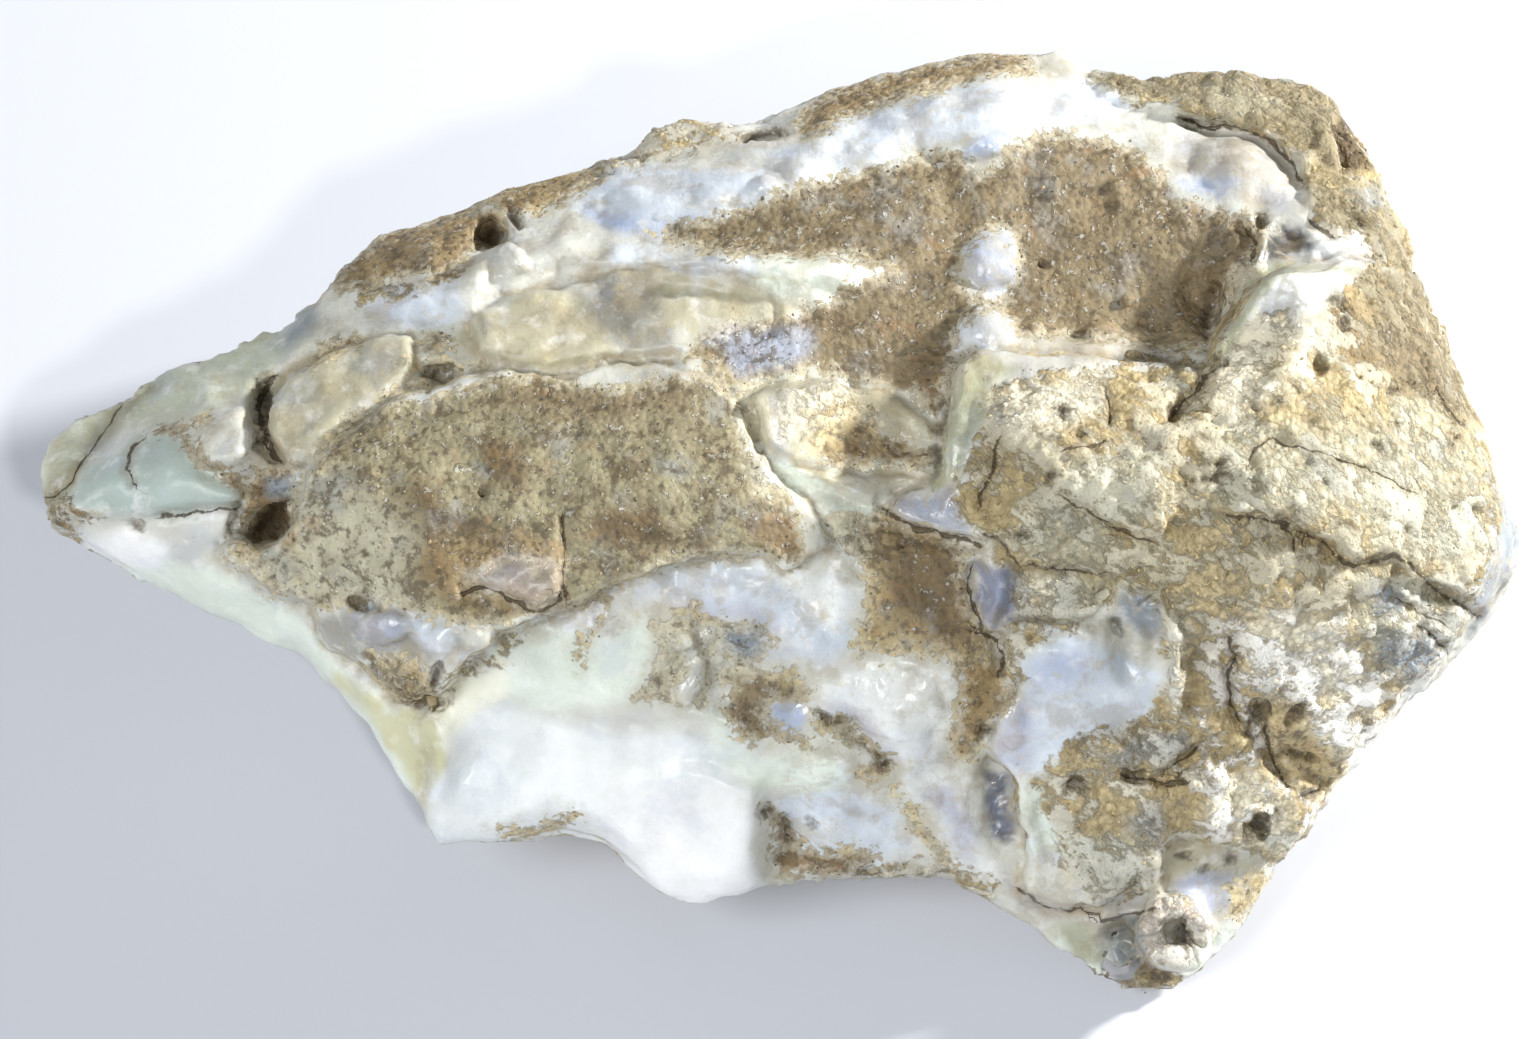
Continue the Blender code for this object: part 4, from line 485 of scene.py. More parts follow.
    ("cornerTanWithPaintedShade", [(27.4, 17.0), (29.4, 16.8), (32.2, 14.6), (33.4, 12.8), (31.0, 12.8), (28.4, 15.0)], 1.2),
    ("slate", [(29.6, 16.8), (30.8, 16.8), (31.8, 15.6), (30.6, 15.4)], 0.8),
    ("darkSand", [(-36.4, 0.6), (-34.8, 0.4), (-33.4, -0.2), (-35.4, -0.7)], 0.6),
    ("darkSand", [(-31.4, 5.2), (-28.6, 5.4), (-27.6, 3.4), (-26.0, 3.0), (-23.4, 3.0), (-23.2, 1.0),
        (-25.0, 0.6), (-27.6, 1.6), (-29.4, 3.6)], 0.5),
    ("slate", [(-24.6, 2.2), (-23.2, 2.4), (-23.4, 1.2), (-24.6, 1.2)], 0.6),
    ("brown", [(-26.8, 0.6), (-23.0, 0.6), (-23.2, -1.4), (-26.4, -1.6)], 0.5),
    ("pinkCream", [(22.8, -20.6), (22.2, -19.2), (20.9, -18.7), (19.5, -19.2), (18.9, -20.6), (19.5, -22.0),
        (20.9, -22.5), (22.2, -22.0)], 0.4),
]

# Thin cracks, drawn from the left or from the top: (line, half width in mm).
cracks = [
    ([(23.2, 0.2), (24.3, 0.0), (25.6, -0.1), (26.4, -0.5), (27.5, -1.0), (28.5, -1.7), (29.3, -2.3),
        (30.3, -2.1), (31.3, -1.9), (32.0, -2.2), (32.8, -2.9), (34.0, -3.7), (36.0, -4.8)], 0.13),
    ([(-30.0, 0.1), (-28.5, 0.4), (-26.2, 0.6)], 0.09),
    ([(-36.2, 1.2), (-35.2, 1.3), (-34.5, 2.3), (-33.6, 3.6), (-32.6, 5.0), (-32.2, 5.8)], 0.06),
    ([(31.7, -4.0), (33.0, -4.6), (34.5, -5.4)], 0.08),
    ([(33.0, -5.3), (34.5, -6.8)], 0.08),
    ([(24.0, 2.5), (24.4, 3.5), (25.0, 3.9), (26.5, 3.6), (28.0, 3.2), (30.0, 2.4), (32.4, 1.3)], 0.08),
    ([(33.6, 6.4), (34.2, 5.4), (35.2, 4.5)], 0.1),
    ([(23.2, -5.8), (23.7, -6.7), (23.3, -7.6), (23.3, -9.0), (23.8, -10.0)], 0.13),
    ([(25.2, -10.4), (25.3, -11.3), (25.9, -12.4), (26.5, -13.4)], 0.12),
    ([(20.2, -12.6), (20.9, -12.0), (21.8, -11.5)], 0.09),
    ([(18.1, -12.6), (19.1, -12.9), (20.3, -13.1), (21.2, -13.0)], 0.15),
    ([(14.8, 1.2), (15.8, 0.5), (17.1, -0.1)], 0.11),
    ([(17.7, -0.5), (18.5, -0.8), (19.5, -1.2)], 0.11),
    ([(13.2, -2.3), (15.0, -2.5), (16.9, -2.6)], 0.11),
    ([(6.2, 0.4), (7.4, -0.2), (8.8, -0.8), (10.7, -1.2)], 0.18),
    ([(11.1, -0.7), (11.8, -0.9), (12.8, -2.2)], 0.1),
    ([(10.5, -2.4), (10.4, -3.4), (10.8, -4.4), (11.0, -5.4)], 0.13),
    ([(10.8, -5.6), (11.8, -6.0), (12.1, -6.8), (11.9, -7.7)], 0.18),
    ([(11.8, 3.9), (11.7, 2.8), (11.2, 1.8), (11.0, 0.6)], 0.16),
    ([(15.2, 3.5), (16.2, 3.6), (17.0, 3.9)], 0.14),
    ([(17.1, 6.6), (17.2, 5.6), (17.3, 4.8)], 0.13),
    ([(20.5, 5.2), (21.2, 6.0), (22.0, 6.8), (22.4, 7.6)], 0.16),
    ([(25.8, -0.4), (26.2, -0.9), (26.3, -1.5)], 0.12),
    ([(-31.0, 4.1), (-31.6, 3.2), (-31.7, 2.4), (-31.4, 1.9)], 0.12),
    ([(-24.4, 7.2), (-25.2, 6.0), (-25.0, 4.9), (-24.7, 4.0), (-24.0, 3.0)], 0.22),
    ([(-14.6, -3.6), (-13.7, -3.4), (-12.4, -3.8), (-10.9, -4.6), (-9.9, -3.9)], 0.13),
    ([(-9.8, 0.0), (-9.7, -1.6), (-9.8, -2.6), (-9.7, -3.8)], 0.12),
    ([(21.2, 20.3), (22.3, 20.0), (24.0, 19.7), (25.5, 19.3), (26.5, 18.4), (27.2, 17.2)], 0.11),
    ([(29.0, 19.8), (29.4, 18.6), (29.5, 17.7)], 0.2),
    ([(24.3, 14.8), (24.8, 13.8), (24.7, 13.0)], 0.14),
    ([(27.7, 15.0), (28.2, 14.5), (28.6, 14.2)], 0.12),
    ([(13.0, -18.6), (14.2, -19.3), (15.6, -19.7), (17.0, -19.8)], 0.12),
    ([(17.2, -20.2), (18.2, -19.8), (19.8, -19.6)], 0.12),
]

# Hollows and pits, stained umber as dirt and painted shade: (centre, half width, half height, turn in
# degrees, depth in mm).
hollows = [
    ((-24.4, -0.1), 0.85, 0.75, 35, 0.9),
    ((-25.2, -0.9), 0.5, 0.4, 0, 0.6),
    ((-26.2, 0.1), 0.28, 0.8, -12, 0.5),
    ((-23.8, 0.9), 0.35, 0.3, 0, 0.4),
    ((-24.9, 5.9), 0.35, 1.2, 12, 0.8),
    ((-25.0, 4.1), 0.25, 0.7, -25, 0.6),
    ((-31.2, -0.3), 0.3, 0.3, 0, 0.3),
    ((-13.7, 14.2), 0.9, 0.6, -15, 0.7),
    ((-12.4, 15.3), 0.35, 0.8, 15, 0.5),
    ((-16.0, 7.3), 0.9, 0.4, 0, 0.6),
    ((0.2, 19.4), 1.4, 0.4, 5, 0.6),
    ((-13.7, 1.25), 0.28, 0.25, 0, 0.5),
    ((-19.7, -4.1), 0.7, 0.28, -15, 0.6),
    ((-18.9, -7.6), 1.2, 0.35, -38, 0.6),
    ((-17.0, -8.9), 1.3, 0.45, -8, 0.7),
    ((-16.0, -7.9), 0.35, 0.9, -30, 0.6),
    ((7.0, -1.2), 0.28, 0.28, 0, 0.5),
    ((11.0, -10.5), 0.4, 0.45, 0, 0.6),
    ((17.8, -5.2), 0.25, 0.5, 25, 0.5),
    ((2.7, -15.1), 0.35, 0.25, 0, 0.3),
    ((0.2, -14.6), 0.35, 0.4, 0, 0.3),
    ((1.3, -15.4), 0.3, 0.5, 0, 0.3),
    ((14.2, 12.8), 0.35, 0.3, 0, 0.4),
    ((15.1, 5.4), 0.25, 0.25, 0, 0.3),
    ((15.9, 4.3), 0.3, 0.2, 0, 0.3),
    ((14.3, 2.2), 0.2, 0.3, 0, 0.3),
    ((12.8, -0.7), 0.25, 0.15, 0, 0.3),
    ((20.6, 5.3), 0.4, 0.3, 0, 0.4),
    ((22.5, 2.0), 0.7, 0.22, 8, 0.3),
    ((22.6, 2.9), 0.4, 0.35, 0, 0.3),
    ((24.4, 5.6), 0.3, 0.25, 0, 0.3),
    ((27.7, 7.7), 0.5, 0.35, -30, 0.5),
    ((28.8, 10.8), 0.7, 0.35, -25, 0.5),
    ((29.0, 9.7), 0.35, 0.5, 0, 0.5),
    ((22.7, 7.8), 0.4, 0.35, 0, 0.5),
    ((31.4, 6.4), 0.5, 0.25, 0, 0.4),
    ((30.6, 3.6), 0.35, 0.2, -30, 0.3),
    ((34.6, 4.0), 0.25, 0.2, 0, 0.3),
    ((24.9, -9.7), 0.5, 0.9, -35, 0.8),
    ((26.7, -9.7), 0.35, 0.8, -35, 0.5),
    ((24.2, -10.5), 0.4, 0.2, -20, 0.4),
    ((24.9, -15.3), 0.55, 0.65, 0, 1.0),
    ((26.0, -14.9), 0.2, 0.45, 0, 0.3),
    ((28.0, -13.6), 0.8, 0.25, 20, 0.4),
    ((27.0, -11.9), 1.4, 0.3, -18, 0.4),
    ((20.3, -20.2), 0.17, 0.17, 0, 0.4),
    ((21.4, -21.0), 0.45, 0.6, 15, 0.6),
    ((20.2, -22.9), 0.9, 0.4, -12, 0.3),
    ((18.3, -22.9), 0.7, 0.3, -12, 0.2),
    ((23.7, -16.9), 0.35, 0.3, 0, 0.2),
    ((21.2, -16.8), 0.4, 0.25, 0, 0.2),
    ((22.5, -17.4), 0.45, 0.15, 0, 0.15),
    ((18.6, -12.7), 0.4, 0.25, -20, 0.3),
    ((15.8, -13.2), 0.5, 0.4, 0, 0.3),
    ((29.8, 18.9), 0.7, 1.3, 15, 0.5),
    ((22.0, 20.1), 0.8, 0.3, -8, 0.6),
    ((25.2, 15.0), 0.5, 0.4, -20, 0.5),
    ((22.6, 10.7), 0.5, 1.3, -20, 0.35),
    ((8.7, 3.2), 0.35, 1.2, -5, 0.5),
    ((9.2, 5.2), 0.3, 0.8, -12, 0.3),
    ((6.2, -12.2), 0.4, 0.4, 0, 0.3),
    ((3.4, -9.9), 0.8, 0.25, -15, 0.2),
]

# Smooth nodules and lips that stand up: (centre, half width, half height, turn, height in mm).
nodules = [
    ((-18.7, -5.4), 1.4, 0.8, 5, 0.45),
    ((-16.1, -5.9), 1.4, 0.8, -5, 0.3),
    ((-23.5, -2.9), 0.6, 0.6, 0, 0.35),
    ((-20.0, -2.3), 1.1, 0.8, 0, 0.3),
    ((-26.3, -1.6), 0.6, 0.5, 0, 0.3),
    ((-24.6, -2.6), 0.5, 0.4, 20, 0.3),
    ((-22.4, -3.4), 0.6, 0.45, -10, 0.3),
    ((-21.8, -2.2), 0.5, 0.5, 0, 0.25),
    ((-3.8, -6.0), 0.5, 0.42, 0, 0.3),
    ((-2.5, -5.7), 0.45, 0.4, 0, 0.3),
    ((-3.4, -8.0), 0.6, 1.3, -20, 0.35),
    ((-1.9, -6.9), 0.3, 0.4, 0, 0.2),
    ((11.5, 13.0), 1.4, 1.5, 0, 0.45),
    ((11.1, 9.5), 1.3, 1.1, 0, 0.5),
    ((17.9, 16.7), 0.35, 0.3, 0, 0.3),
    ((18.0, 15.7), 0.3, 0.3, 0, 0.25),
    ((18.4, 10.9), 0.4, 0.3, 0, 0.3),
    ((17.5, 9.5), 0.5, 0.35, 0, 0.3),
    ((16.8, 9.4), 0.4, 0.35, 0, 0.3),
    ((13.8, 9.6), 0.4, 0.3, 0, 0.3),
    ((14.7, 16.3), 0.35, 0.25, 0, 0.25),
    ((-12.2, 13.1), 0.9, 0.5, -35, 0.5),
    ((0.4, 16.7), 0.6, 0.5, 0, 0.35),
    ((11.5, 18.7), 0.9, 0.5, 10, 0.3),
    ((12.5, -10.0), 0.6, 1.4, 0, 0.35),
    ((11.8, -13.2), 0.45, 0.5, 0, 0.3),
    ((12.2, -14.4), 0.4, 0.5, 10, 0.3),
    ((12.1, -15.7), 0.4, 0.5, -10, 0.3),
    ((18.5, -3.9), 0.3, 0.3, 0, 0.35),
    ((19.0, -3.7), 0.28, 0.28, 0, 0.35),
    ((18.9, -4.3), 0.26, 0.26, 0, 0.35),
    ((18.2, -3.6), 0.25, 0.25, 0, 0.3),
    ((19.4, -4.2), 0.25, 0.25, 0, 0.3),
    ((18.7, -6.6), 0.6, 1.2, -10, 0.2),
    ((27.0, 11.1), 1.1, 0.7, -25, 0.4),
    ((27.4, 9.6), 1.2, 0.7, -20, 0.4),
    ((1.6, -9.8), 1.0, 0.7, -10, 0.1),
    ((6.9, -9.2), 2.4, 1.8, -10, 0.25),
    ((8.3, 0.8), 1.6, 0.7, 15, 0.12),
    ((9.8, 3.6), 0.5, 1.8, -14, 0.3),
    ((17.5, 2.0), 2.2, 1.2, 0, 0.2),
    ((28.9, 13.8), 1.0, 0.5, 5, 0.3),
]

# Raised plates whose edges are sharpened: (outline, lip in mm, groove at the foot in mm).
plateEdges = [
    ([(-22.6, 2.4), (-23.1, 0.2), (-23.8, -0.7), (-24.8, -1.3), (-26.0, -0.8), (-26.9, -1.5), (-26.5, -2.3),
        (-25.2, -2.8), (-24.6, -3.5), (-23.7, -4.0), (-22.5, -3.9), (-22.1, -5.4), (-21.6, -6.2),
        (-20.7, -6.7), (-19.2, -8.1), (-17.6, -9.2), (-16.2, -8.9), (-15.0, -7.6), (-14.2, -6.6),
        (-12.8, -5.5), (-10.2, -4.7), (-9.1, -4.3), (-7.2, -3.2), (-4.7, -2.3), (-1.8, -1.8), (0.2, -1.6),
        (1.4, -2.5), (2.4, -1.9), (3.6, -1.2), (2.5, 0.6), (0.8, 2.2), (-0.2, 3.4), (-0.7, 5.4), (-2.3, 7.0),
        (-5.5, 7.9), (-8.0, 7.6), (-9.5, 7.0), (-13.0, 7.6), (-15.0, 7.1), (-16.5, 6.3), (-18.0, 6.4),
        (-20.4, 4.8)], 0.12, 0.25),
    ([(-14.4, 10.2), (-12.8, 11.2), (-10.0, 11.6), (-7.0, 12.4), (-3.0, 12.4), (0.5, 11.6), (0.5, 9.5),
        (-2.4, 8.4), (-5.0, 8.4), (-8.0, 8.2), (-10.5, 7.6), (-14.0, 8.3)], 0.1, 0.2),
    ([(-24.8, 5.0), (-23.8, 7.1), (-21.6, 8.3), (-19.5, 8.9), (-17.6, 9.2), (-17.2, 7.6), (-18.3, 6.4),
        (-20.2, 5.0), (-22.0, 3.0), (-23.4, 2.7), (-24.2, 3.4)], 0.1, 0.2),
    ([(-0.4, 6.2), (1.5, 7.0), (3.2, 7.1), (4.8, 6.4), (6.8, 6.1), (8.0, 5.4), (8.9, 4.3), (8.3, 2.5),
        (5.6, 2.6), (3.6, 2.5), (2.0, 2.8), (0.2, 3.8)], 0.1, 0.25),
    ([(8.3, 2.2), (9.0, 4.2), (9.5, 6.2), (10.0, 7.8), (11.2, 8.3), (14.0, 8.2), (18.0, 8.0), (21.6, 7.5),
        (22.4, 7.6), (22.6, 9.0), (23.5, 10.2), (24.2, 11.4), (25.4, 12.1), (27.6, 12.6), (29.3, 13.1),
        (31.2, 12.7), (33.6, 12.0), (38.0, 4.0), (39.0, -2.0), (30.0, -13.0), (27.5, -12.8), (26.0, -12.2),
        (25.0, -10.8), (24.2, -10.0), (22.0, -10.5), (20.6, -9.5), (20.4, -6.0), (19.6, -3.6), (17.2, -2.6),
        (12.8, -2.4), (12.0, -1.4), (11.5, -0.7), (10.8, -1.2), (9.0, -0.9), (7.4, -0.3), (6.2, 0.3),
        (6.9, 1.2), (8.0, 1.7)], 0.18, 0.2),
    ([(12.3, -5.1), (12.1, -6.6), (12.1, -7.6), (12.9, -7.8), (12.8, -8.6), (12.2, -9.6), (11.4, -10.8),
        (11.6, -12.0), (12.5, -12.8), (12.8, -14.2), (13.3, -16.0), (13.4, -17.2), (13.2, -19.0),
        (15.0, -19.7), (17.2, -19.3), (18.6, -18.8), (20.2, -18.8), (20.1, -16.2), (21.0, -15.8),
        (24.0, -16.2), (26.2, -17.0), (28.5, -14.0), (26.0, -11.5), (24.0, -10.2), (21.0, -9.8), (20.8, -6.0),
        (19.6, -3.4), (17.6, -3.2), (16.6, -4.8)], 0.12, 0.2),
]

tubeRing = {"centre": (20.85, -20.6), "radius": 1.3, "wall": 0.42, "height": 0.6}

sculpt = {
    "voxel": 0.2 * mm,
    "triangles": 196000,
    "softening": 4,  # smoothing passes that take the facets away
    "wander": (0.22, 1.1),  # how far and at what spacing drawn lines wander, in mm
    "sandGrain": (0.07, 0.9),  # height and spacing of the relief in sandy crust
    "crustLedges": (0.15, 1.6),
    "opalFolds": (0.17, 1.8),  # weathered opal
    "opalRipple": (0.06, 2.8),  # freshly broken opal
    "sideRelief": (0.3, 3.5),
    "reach": 1.6,  # mm over which a marking's distance is kept
    "octaves": (0.8, 2.0, 3),  # fading, step and number of the octaves of natural relief
    # how far and at what spacing these wander, in mm
    "hollowRims": (0.4, 0.9),
    "crackEdges": (0.13, 0.5),
    "tintEdges": (0.5, 2.0),
    # places and widths of what runs along a plate's edge, in mm in from it
    "lip": (0.3, 0.28),
    "foot": (-0.25, 0.22),
    # where the brown line and painted shade at a plate's foot lie
    "seamAndFootShade": (-0.22, 0.24),
    "crackGroove": (1.9, 0.26),  # depth for each mm of half width, and the groove's own half width
    "crackFade": 0.4,  # mm over which a crack's end closes
    # patches on hidden sides: spacing in mm, and how much they are favoured
    "hiddenSand": (9.0, -0.25),
    "hiddenCrust": (11.0, 0.2),
    "hiddenContrast": 2.2,
}


def smooth(share):
    share = np.clip(share, 0.0, 1.0)
    return share * share * (3.0 - 2.0 * share)


def linear(tint):
    return np.array([part / 12.92 if part < 0.04045 else ((part + 0.055) / 1.055) ** 2.4 for part in tint])


def drawnPlaces(points):  # metres on the stone to millimetres on the drawing
    angle = math.radians(drawing["viewAngle"])
    across = points[:, 0] / mm + drawing["acrossShift"]
    depth = points[:, 1] / mm + drawing["depthShift"]
    return np.column_stack([across, depth * math.sin(angle) + points[:, 2] / mm * math.cos(angle)])


def facingOf(normals):  # 1 where the surface looks at the camera's side, 0 underneath and behind
    angle = math.radians(drawing["viewAngle"])
    return smooth((normals @ np.array([0.0, -math.cos(angle), math.sin(angle)]) - 0.02) / 0.3)


def frayed(places, reach, spacing, seed):
    pushes = [noise.noise_vector(Vector((x, y, seed))) for x, y in places / spacing]
    return places + reach * np.array(pushes)[:, :2]


def wandered(places):  # drawn lines are only as straight as a natural edge
    reach, spacing = sculpt["wander"]
    return frayed(frayed(places, reach, spacing, 3.0), 0.4 * reach, 0.35 * spacing, 7.0)


def lumps(points, spacing):  # about -1 to 1
    return np.array([noise.fractal(Vector(point), *sculpt["octaves"]) for point in points / (spacing * mm)])


def swell(distance, middle, width):  # 1 at the middle, falling off on both sides
    return np.exp(-(((distance - middle) / width) ** 2))


def near(places, shape, margin):  # which places lie in the shape's box, to save time
    low = np.min(shape, axis=0) - margin
    high = np.max(shape, axis=0) + margin
    return np.flatnonzero(np.all((places > low) & (places < high), axis=1))


def lineDistance(places, line):  # distance in mm, which side it is on, and how far past an end it lies
    line = np.array(line, float)
    best = np.full(len(places), np.inf)
    side = np.ones(len(places))
    past = np.zeros(len(places))
    last = len(line) - 2
    for count, (start, end) in enumerate(zip(line, line[1:])):
        run = end - start
        length = math.hypot(*run)
        along = (places - start) @ run / length
        off = places - start - np.clip(along, 0.0, length)[:, None] * run / length
        away = np.linalg.norm(off, axis=1)
        closer = away < best
        best[closer] = away[closer]
        turn = run[0] * (places[:, 1] - start[1]) - run[1] * (places[:, 0] - start[0])
        side[closer] = np.where(turn[closer] < 0.0, -1.0, 1.0)
        over = np.zeros(len(places))
        if count == 0:
            over = np.maximum(over, -along)
        if count == last:
            over = np.maximum(over, along - length)
        past[closer] = over[closer]
    return best, side, past


def insideDistance(places, outline):  # mm in from the outline, negative outside it
    ring = np.array(outline, float)
    away = lineDistance(places, np.vstack([ring, ring[:1]]))[0]
    inside = np.zeros(len(places), bool)
    for (x0, y0), (x1, y1) in zip(ring, np.roll(ring, -1, axis=0)):
        crosses = (y0 > places[:, 1]) != (y1 > places[:, 1])
        reach = x0 + (places[:, 1] - y0) * (x1 - x0) / (y1 - y0 if y1 != y0 else 1.0)
        inside ^= crosses & (places[:, 0] < reach)
    return np.where(inside, away, -away)


def ovalSpan(places, centre, halfWidth, halfHeight, turn):  # 0 in the middle, 1 at the rim
    angle = math.radians(turn)
    out = places - centre
    wide = out[:, 0] * math.cos(angle) + out[:, 1] * math.sin(angle)
    high = out[:, 1] * math.cos(angle) - out[:, 0] * math.sin(angle)
    return np.hypot(wide / halfWidth, high / halfHeight)


def eatenPlaces(places, halfWidth):  # a hollow's rim wanders, that of a small pit less
    reach, spacing = sculpt["hollowRims"]
    return frayed(places, reach * min(1.0, halfWidth), spacing, 5.0)


def openEnds(past):  # 1 along a crack, 0 beyond where its ends have closed
    return smooth(1.0 - past / sculpt["crackFade"])


def patchField(places, areas, strokes, cuts=()):  # mm in from the nearest border of any patch
    reach = sculpt["reach"]
    field = np.full(len(places), -reach)
    for outline in areas:
        rows = near(places, outline, reach)
        field[rows] = np.maximum(field[rows], insideDistance(places[rows], outline))
    for line, halfWidth in strokes:
        rows = near(places, line, reach)
        field[rows] = np.maximum(field[rows], halfWidth - lineDistance(places[rows], line)[0])
    for outline in cuts:
        rows = near(places, outline, reach)
        field[rows] = np.minimum(field[rows], -insideDistance(places[rows], outline))
    return np.clip(field, -reach, reach)


def ledgesOf(points):  # small steps and ledges of the weathered skin, about -1 to 1
    spacing = sculpt["crustLedges"][1]
    return 2.0 * smooth(0.5 + 1.5 * lumps(points, spacing)) - 1.0


def markingsOf(points, normals):
    facing = facingOf(normals)
    places = wandered(drawnPlaces(points))
    marks = {
        "sandEdge": patchField(places, sandyAreas, sandyStrokes, sandyCuts),
        "crustEdge": patchField(places, crustAreas, crustStrokes),
    }
    # behind and below, the same two coverings lie in broad natural patches
    reach = sculpt["reach"]
    for name, kind, shift in (("sandEdge", "hiddenSand", 0.0), ("crustEdge", "hiddenCrust", 0.1)):
        spacing, favour = sculpt[kind]
        hidden = sculpt["hiddenContrast"] * lumps(points + shift, spacing) + favour
        marks[name] += (np.clip(hidden, -reach, reach) - marks[name]) * (1.0 - facing)

    hollow = np.full(len(points), -reach)
    for centre, halfWidth, halfHeight, turn, _ in hollows:
        rows = near(places, [centre], 3.0)
        span = ovalSpan(eatenPlaces(places[rows], halfWidth), centre, halfWidth, halfHeight, turn)
        hollow[rows] = np.maximum(hollow[rows], (1.0 - span) * min(halfWidth, halfHeight))
    marks["hollowEdge"] = np.where(facing > 0.3, hollow, -reach)

    nearest = np.full(len(points), reach)
    jagged = frayed(places, *sculpt["crackEdges"], 6.0)
    marks["crackSide"] = np.full(len(points), reach)
    marks["crackWidth"] = np.zeros(len(points))
    for line, halfWidth in cracks:
        rows = near(places, line, reach)
        away, side, past = lineDistance(jagged[rows], line)
        closer = away < nearest[rows]
        rows, away, side, past = rows[closer], away[closer], side[closer], past[closer]
        nearest[rows] = away
        marks["crackSide"][rows] = away * side
        marks["crackWidth"][rows] = halfWidth * openEnds(past) * smooth((1.0 - away) / 0.5)
    marks["crackWidth"] *= facing

    # a brown line at the foot of each plate, with painted shade in the groove there
    marks["seamAndFootShade"] = np.zeros(len(points))
    for outline, _, _ in plateEdges:
        rows = near(places, outline, 1.5)
        seamAndFootShade = swell(insideDistance(places[rows], outline), *sculpt["seamAndFootShade"])
        marks["seamAndFootShade"][rows] = np.maximum(marks["seamAndFootShade"][rows], seamAndFootShade)
    marks["wet"] = np.zeros(len(points))
    for centre, halfWidth, halfHeight, turn, _ in nodules:
        rows = near(places, [centre], 4.0)
        span = ovalSpan(places[rows], centre, halfWidth, halfHeight, turn)
        marks["wet"][rows] = np.maximum(marks["wet"][rows], smooth((1.2 - span) / 0.4))
    marks["fresh"] = patchField(places, freshAreas, [])
    marks["ledge"] = ledgesOf(points)
    for name in ("seamAndFootShade", "wet"):
        marks[name] *= facing
    return places, facing, marks


def layTints(places, facing, paint, base):
    colours = np.tile(linear(tints[base]), (len(places), 1))
    places = frayed(places, *sculpt["tintEdges"], 8.0)
    for tint, outline, softness in paint:
        rows = near(places, outline, softness)
        share = smooth(insideDistance(places[rows], outline) / softness + 0.5)[:, None]
        colours[rows] += (linear(tints[tint]) - colours[rows]) * share
    return colours + (linear(tints[base]) - colours) * (1.0 - facing)[:, None]


def reliefOf(points, places, facing, marks):  # how far each point is pushed out, in mm
    lift = np.zeros(len(points))
    for outline, lip, groove in plateEdges:
        rows = near(places, outline, 1.5)
        depth = insideDistance(places[rows], outline)
        lift[rows] += lip * swell(depth, *sculpt["lip"])
        lift[rows] -= groove * swell(depth, *sculpt["foot"])
    steepness, grooveWidth = sculpt["crackGroove"]
    for line, halfWidth in cracks:
        rows = near(places, line, 1.5)
        away, _, past = lineDistance(places[rows], line)
        lift[rows] -= steepness * halfWidth * swell(away, 0.0, grooveWidth) * openEnds(past)
    for centre, halfWidth, halfHeight, turn, depth in hollows:
        rows = near(places, [centre], 3.0)
        span = ovalSpan(eatenPlaces(places[rows], halfWidth), centre, halfWidth, halfHeight, turn)
        lift[rows] -= depth * smooth(1.5 - 1.2 * span)
    for centre, halfWidth, halfHeight, turn, height in nodules:
        rows = near(places, [centre], 4.0)
        span = ovalSpan(places[rows], centre, halfWidth, halfHeight, turn)
        lift[rows] += height * np.sqrt(np.clip(1.0 - span**2, 0.0, 1.0))
    fromRing = np.linalg.norm(places - tubeRing["centre"], axis=1) - tubeRing["radius"]
    lift += tubeRing["height"] * swell(fromRing, 0.0, tubeRing["wall"])
    lift *= facing

    sandy = smooth(marks["sandEdge"] / 0.3 + 0.5)
    crusty = smooth(marks["crustEdge"] / 0.4 + 0.5) * (1.0 - sandy)
    bare = (1.0 - sandy) * (1.0 - crusty)
    fresh = bare * smooth(marks["fresh"] + 0.5)
    for share, kind in ((sandy, "sandGrain"), (bare - fresh, "opalFolds"), (fresh, "opalRipple")):
        height, spacing = sculpt[kind]
        lift += share * height * lumps(points, spacing)
    height, spacing = sculpt["crustLedges"]
    lift += crusty * height * (marks["ledge"] + 0.5 * lumps(points, 0.4 * spacing))
    height, spacing = sculpt["sideRelief"]
    lift += (1.0 - facing) * height * lumps(points, spacing)
    return lift * smooth((points[:, 2] / mm - 0.2) / 0.8)  # the face it rests on stays flat


def selectOnly(piece):
    bpy.ops.object.select_all(action="DESELECT")
    piece.select_set(True)
    bpy.context.view_layer.objects.active = piece


def applyNew(piece, kind, **settings):
    selectOnly(piece)
    modifier = piece.modifiers.new(kind.lower(), kind)
    for name, value in settings.items():
        setattr(modifier, name, value)
    bpy.ops.object.modifier_apply(modifier=modifier.name)


def pointsOf(mesh):
    flat = np.empty(len(mesh.vertices) * 3, np.float32)
    mesh.vertices.foreach_get("co", flat)
    return flat.reshape(-1, 3).astype(float)


def normalsOf(mesh):
    flat = np.empty(len(mesh.vertices) * 3, np.float32)
    mesh.vertex_normals.foreach_get("vector", flat)
    return flat.reshape(-1, 3).astype(float)


def storeValue(mesh, name, values):
    mesh.attributes.new(name, "FLOAT", "POINT").data.foreach_set("value", values.astype(np.float32))


def storeColour(mesh, name, colours):
    rows = np.column_stack([colours, np.ones(len(colours))]).astype(np.float32)
    mesh.attributes.new(name, "FLOAT_COLOR", "POINT").data.foreach_set("color", rows.ravel())


def storedOn(mesh, name):
    values = np.empty(len(mesh.vertices), np.float32)
    mesh.attributes[name].data.foreach_get("value", values)
    return values


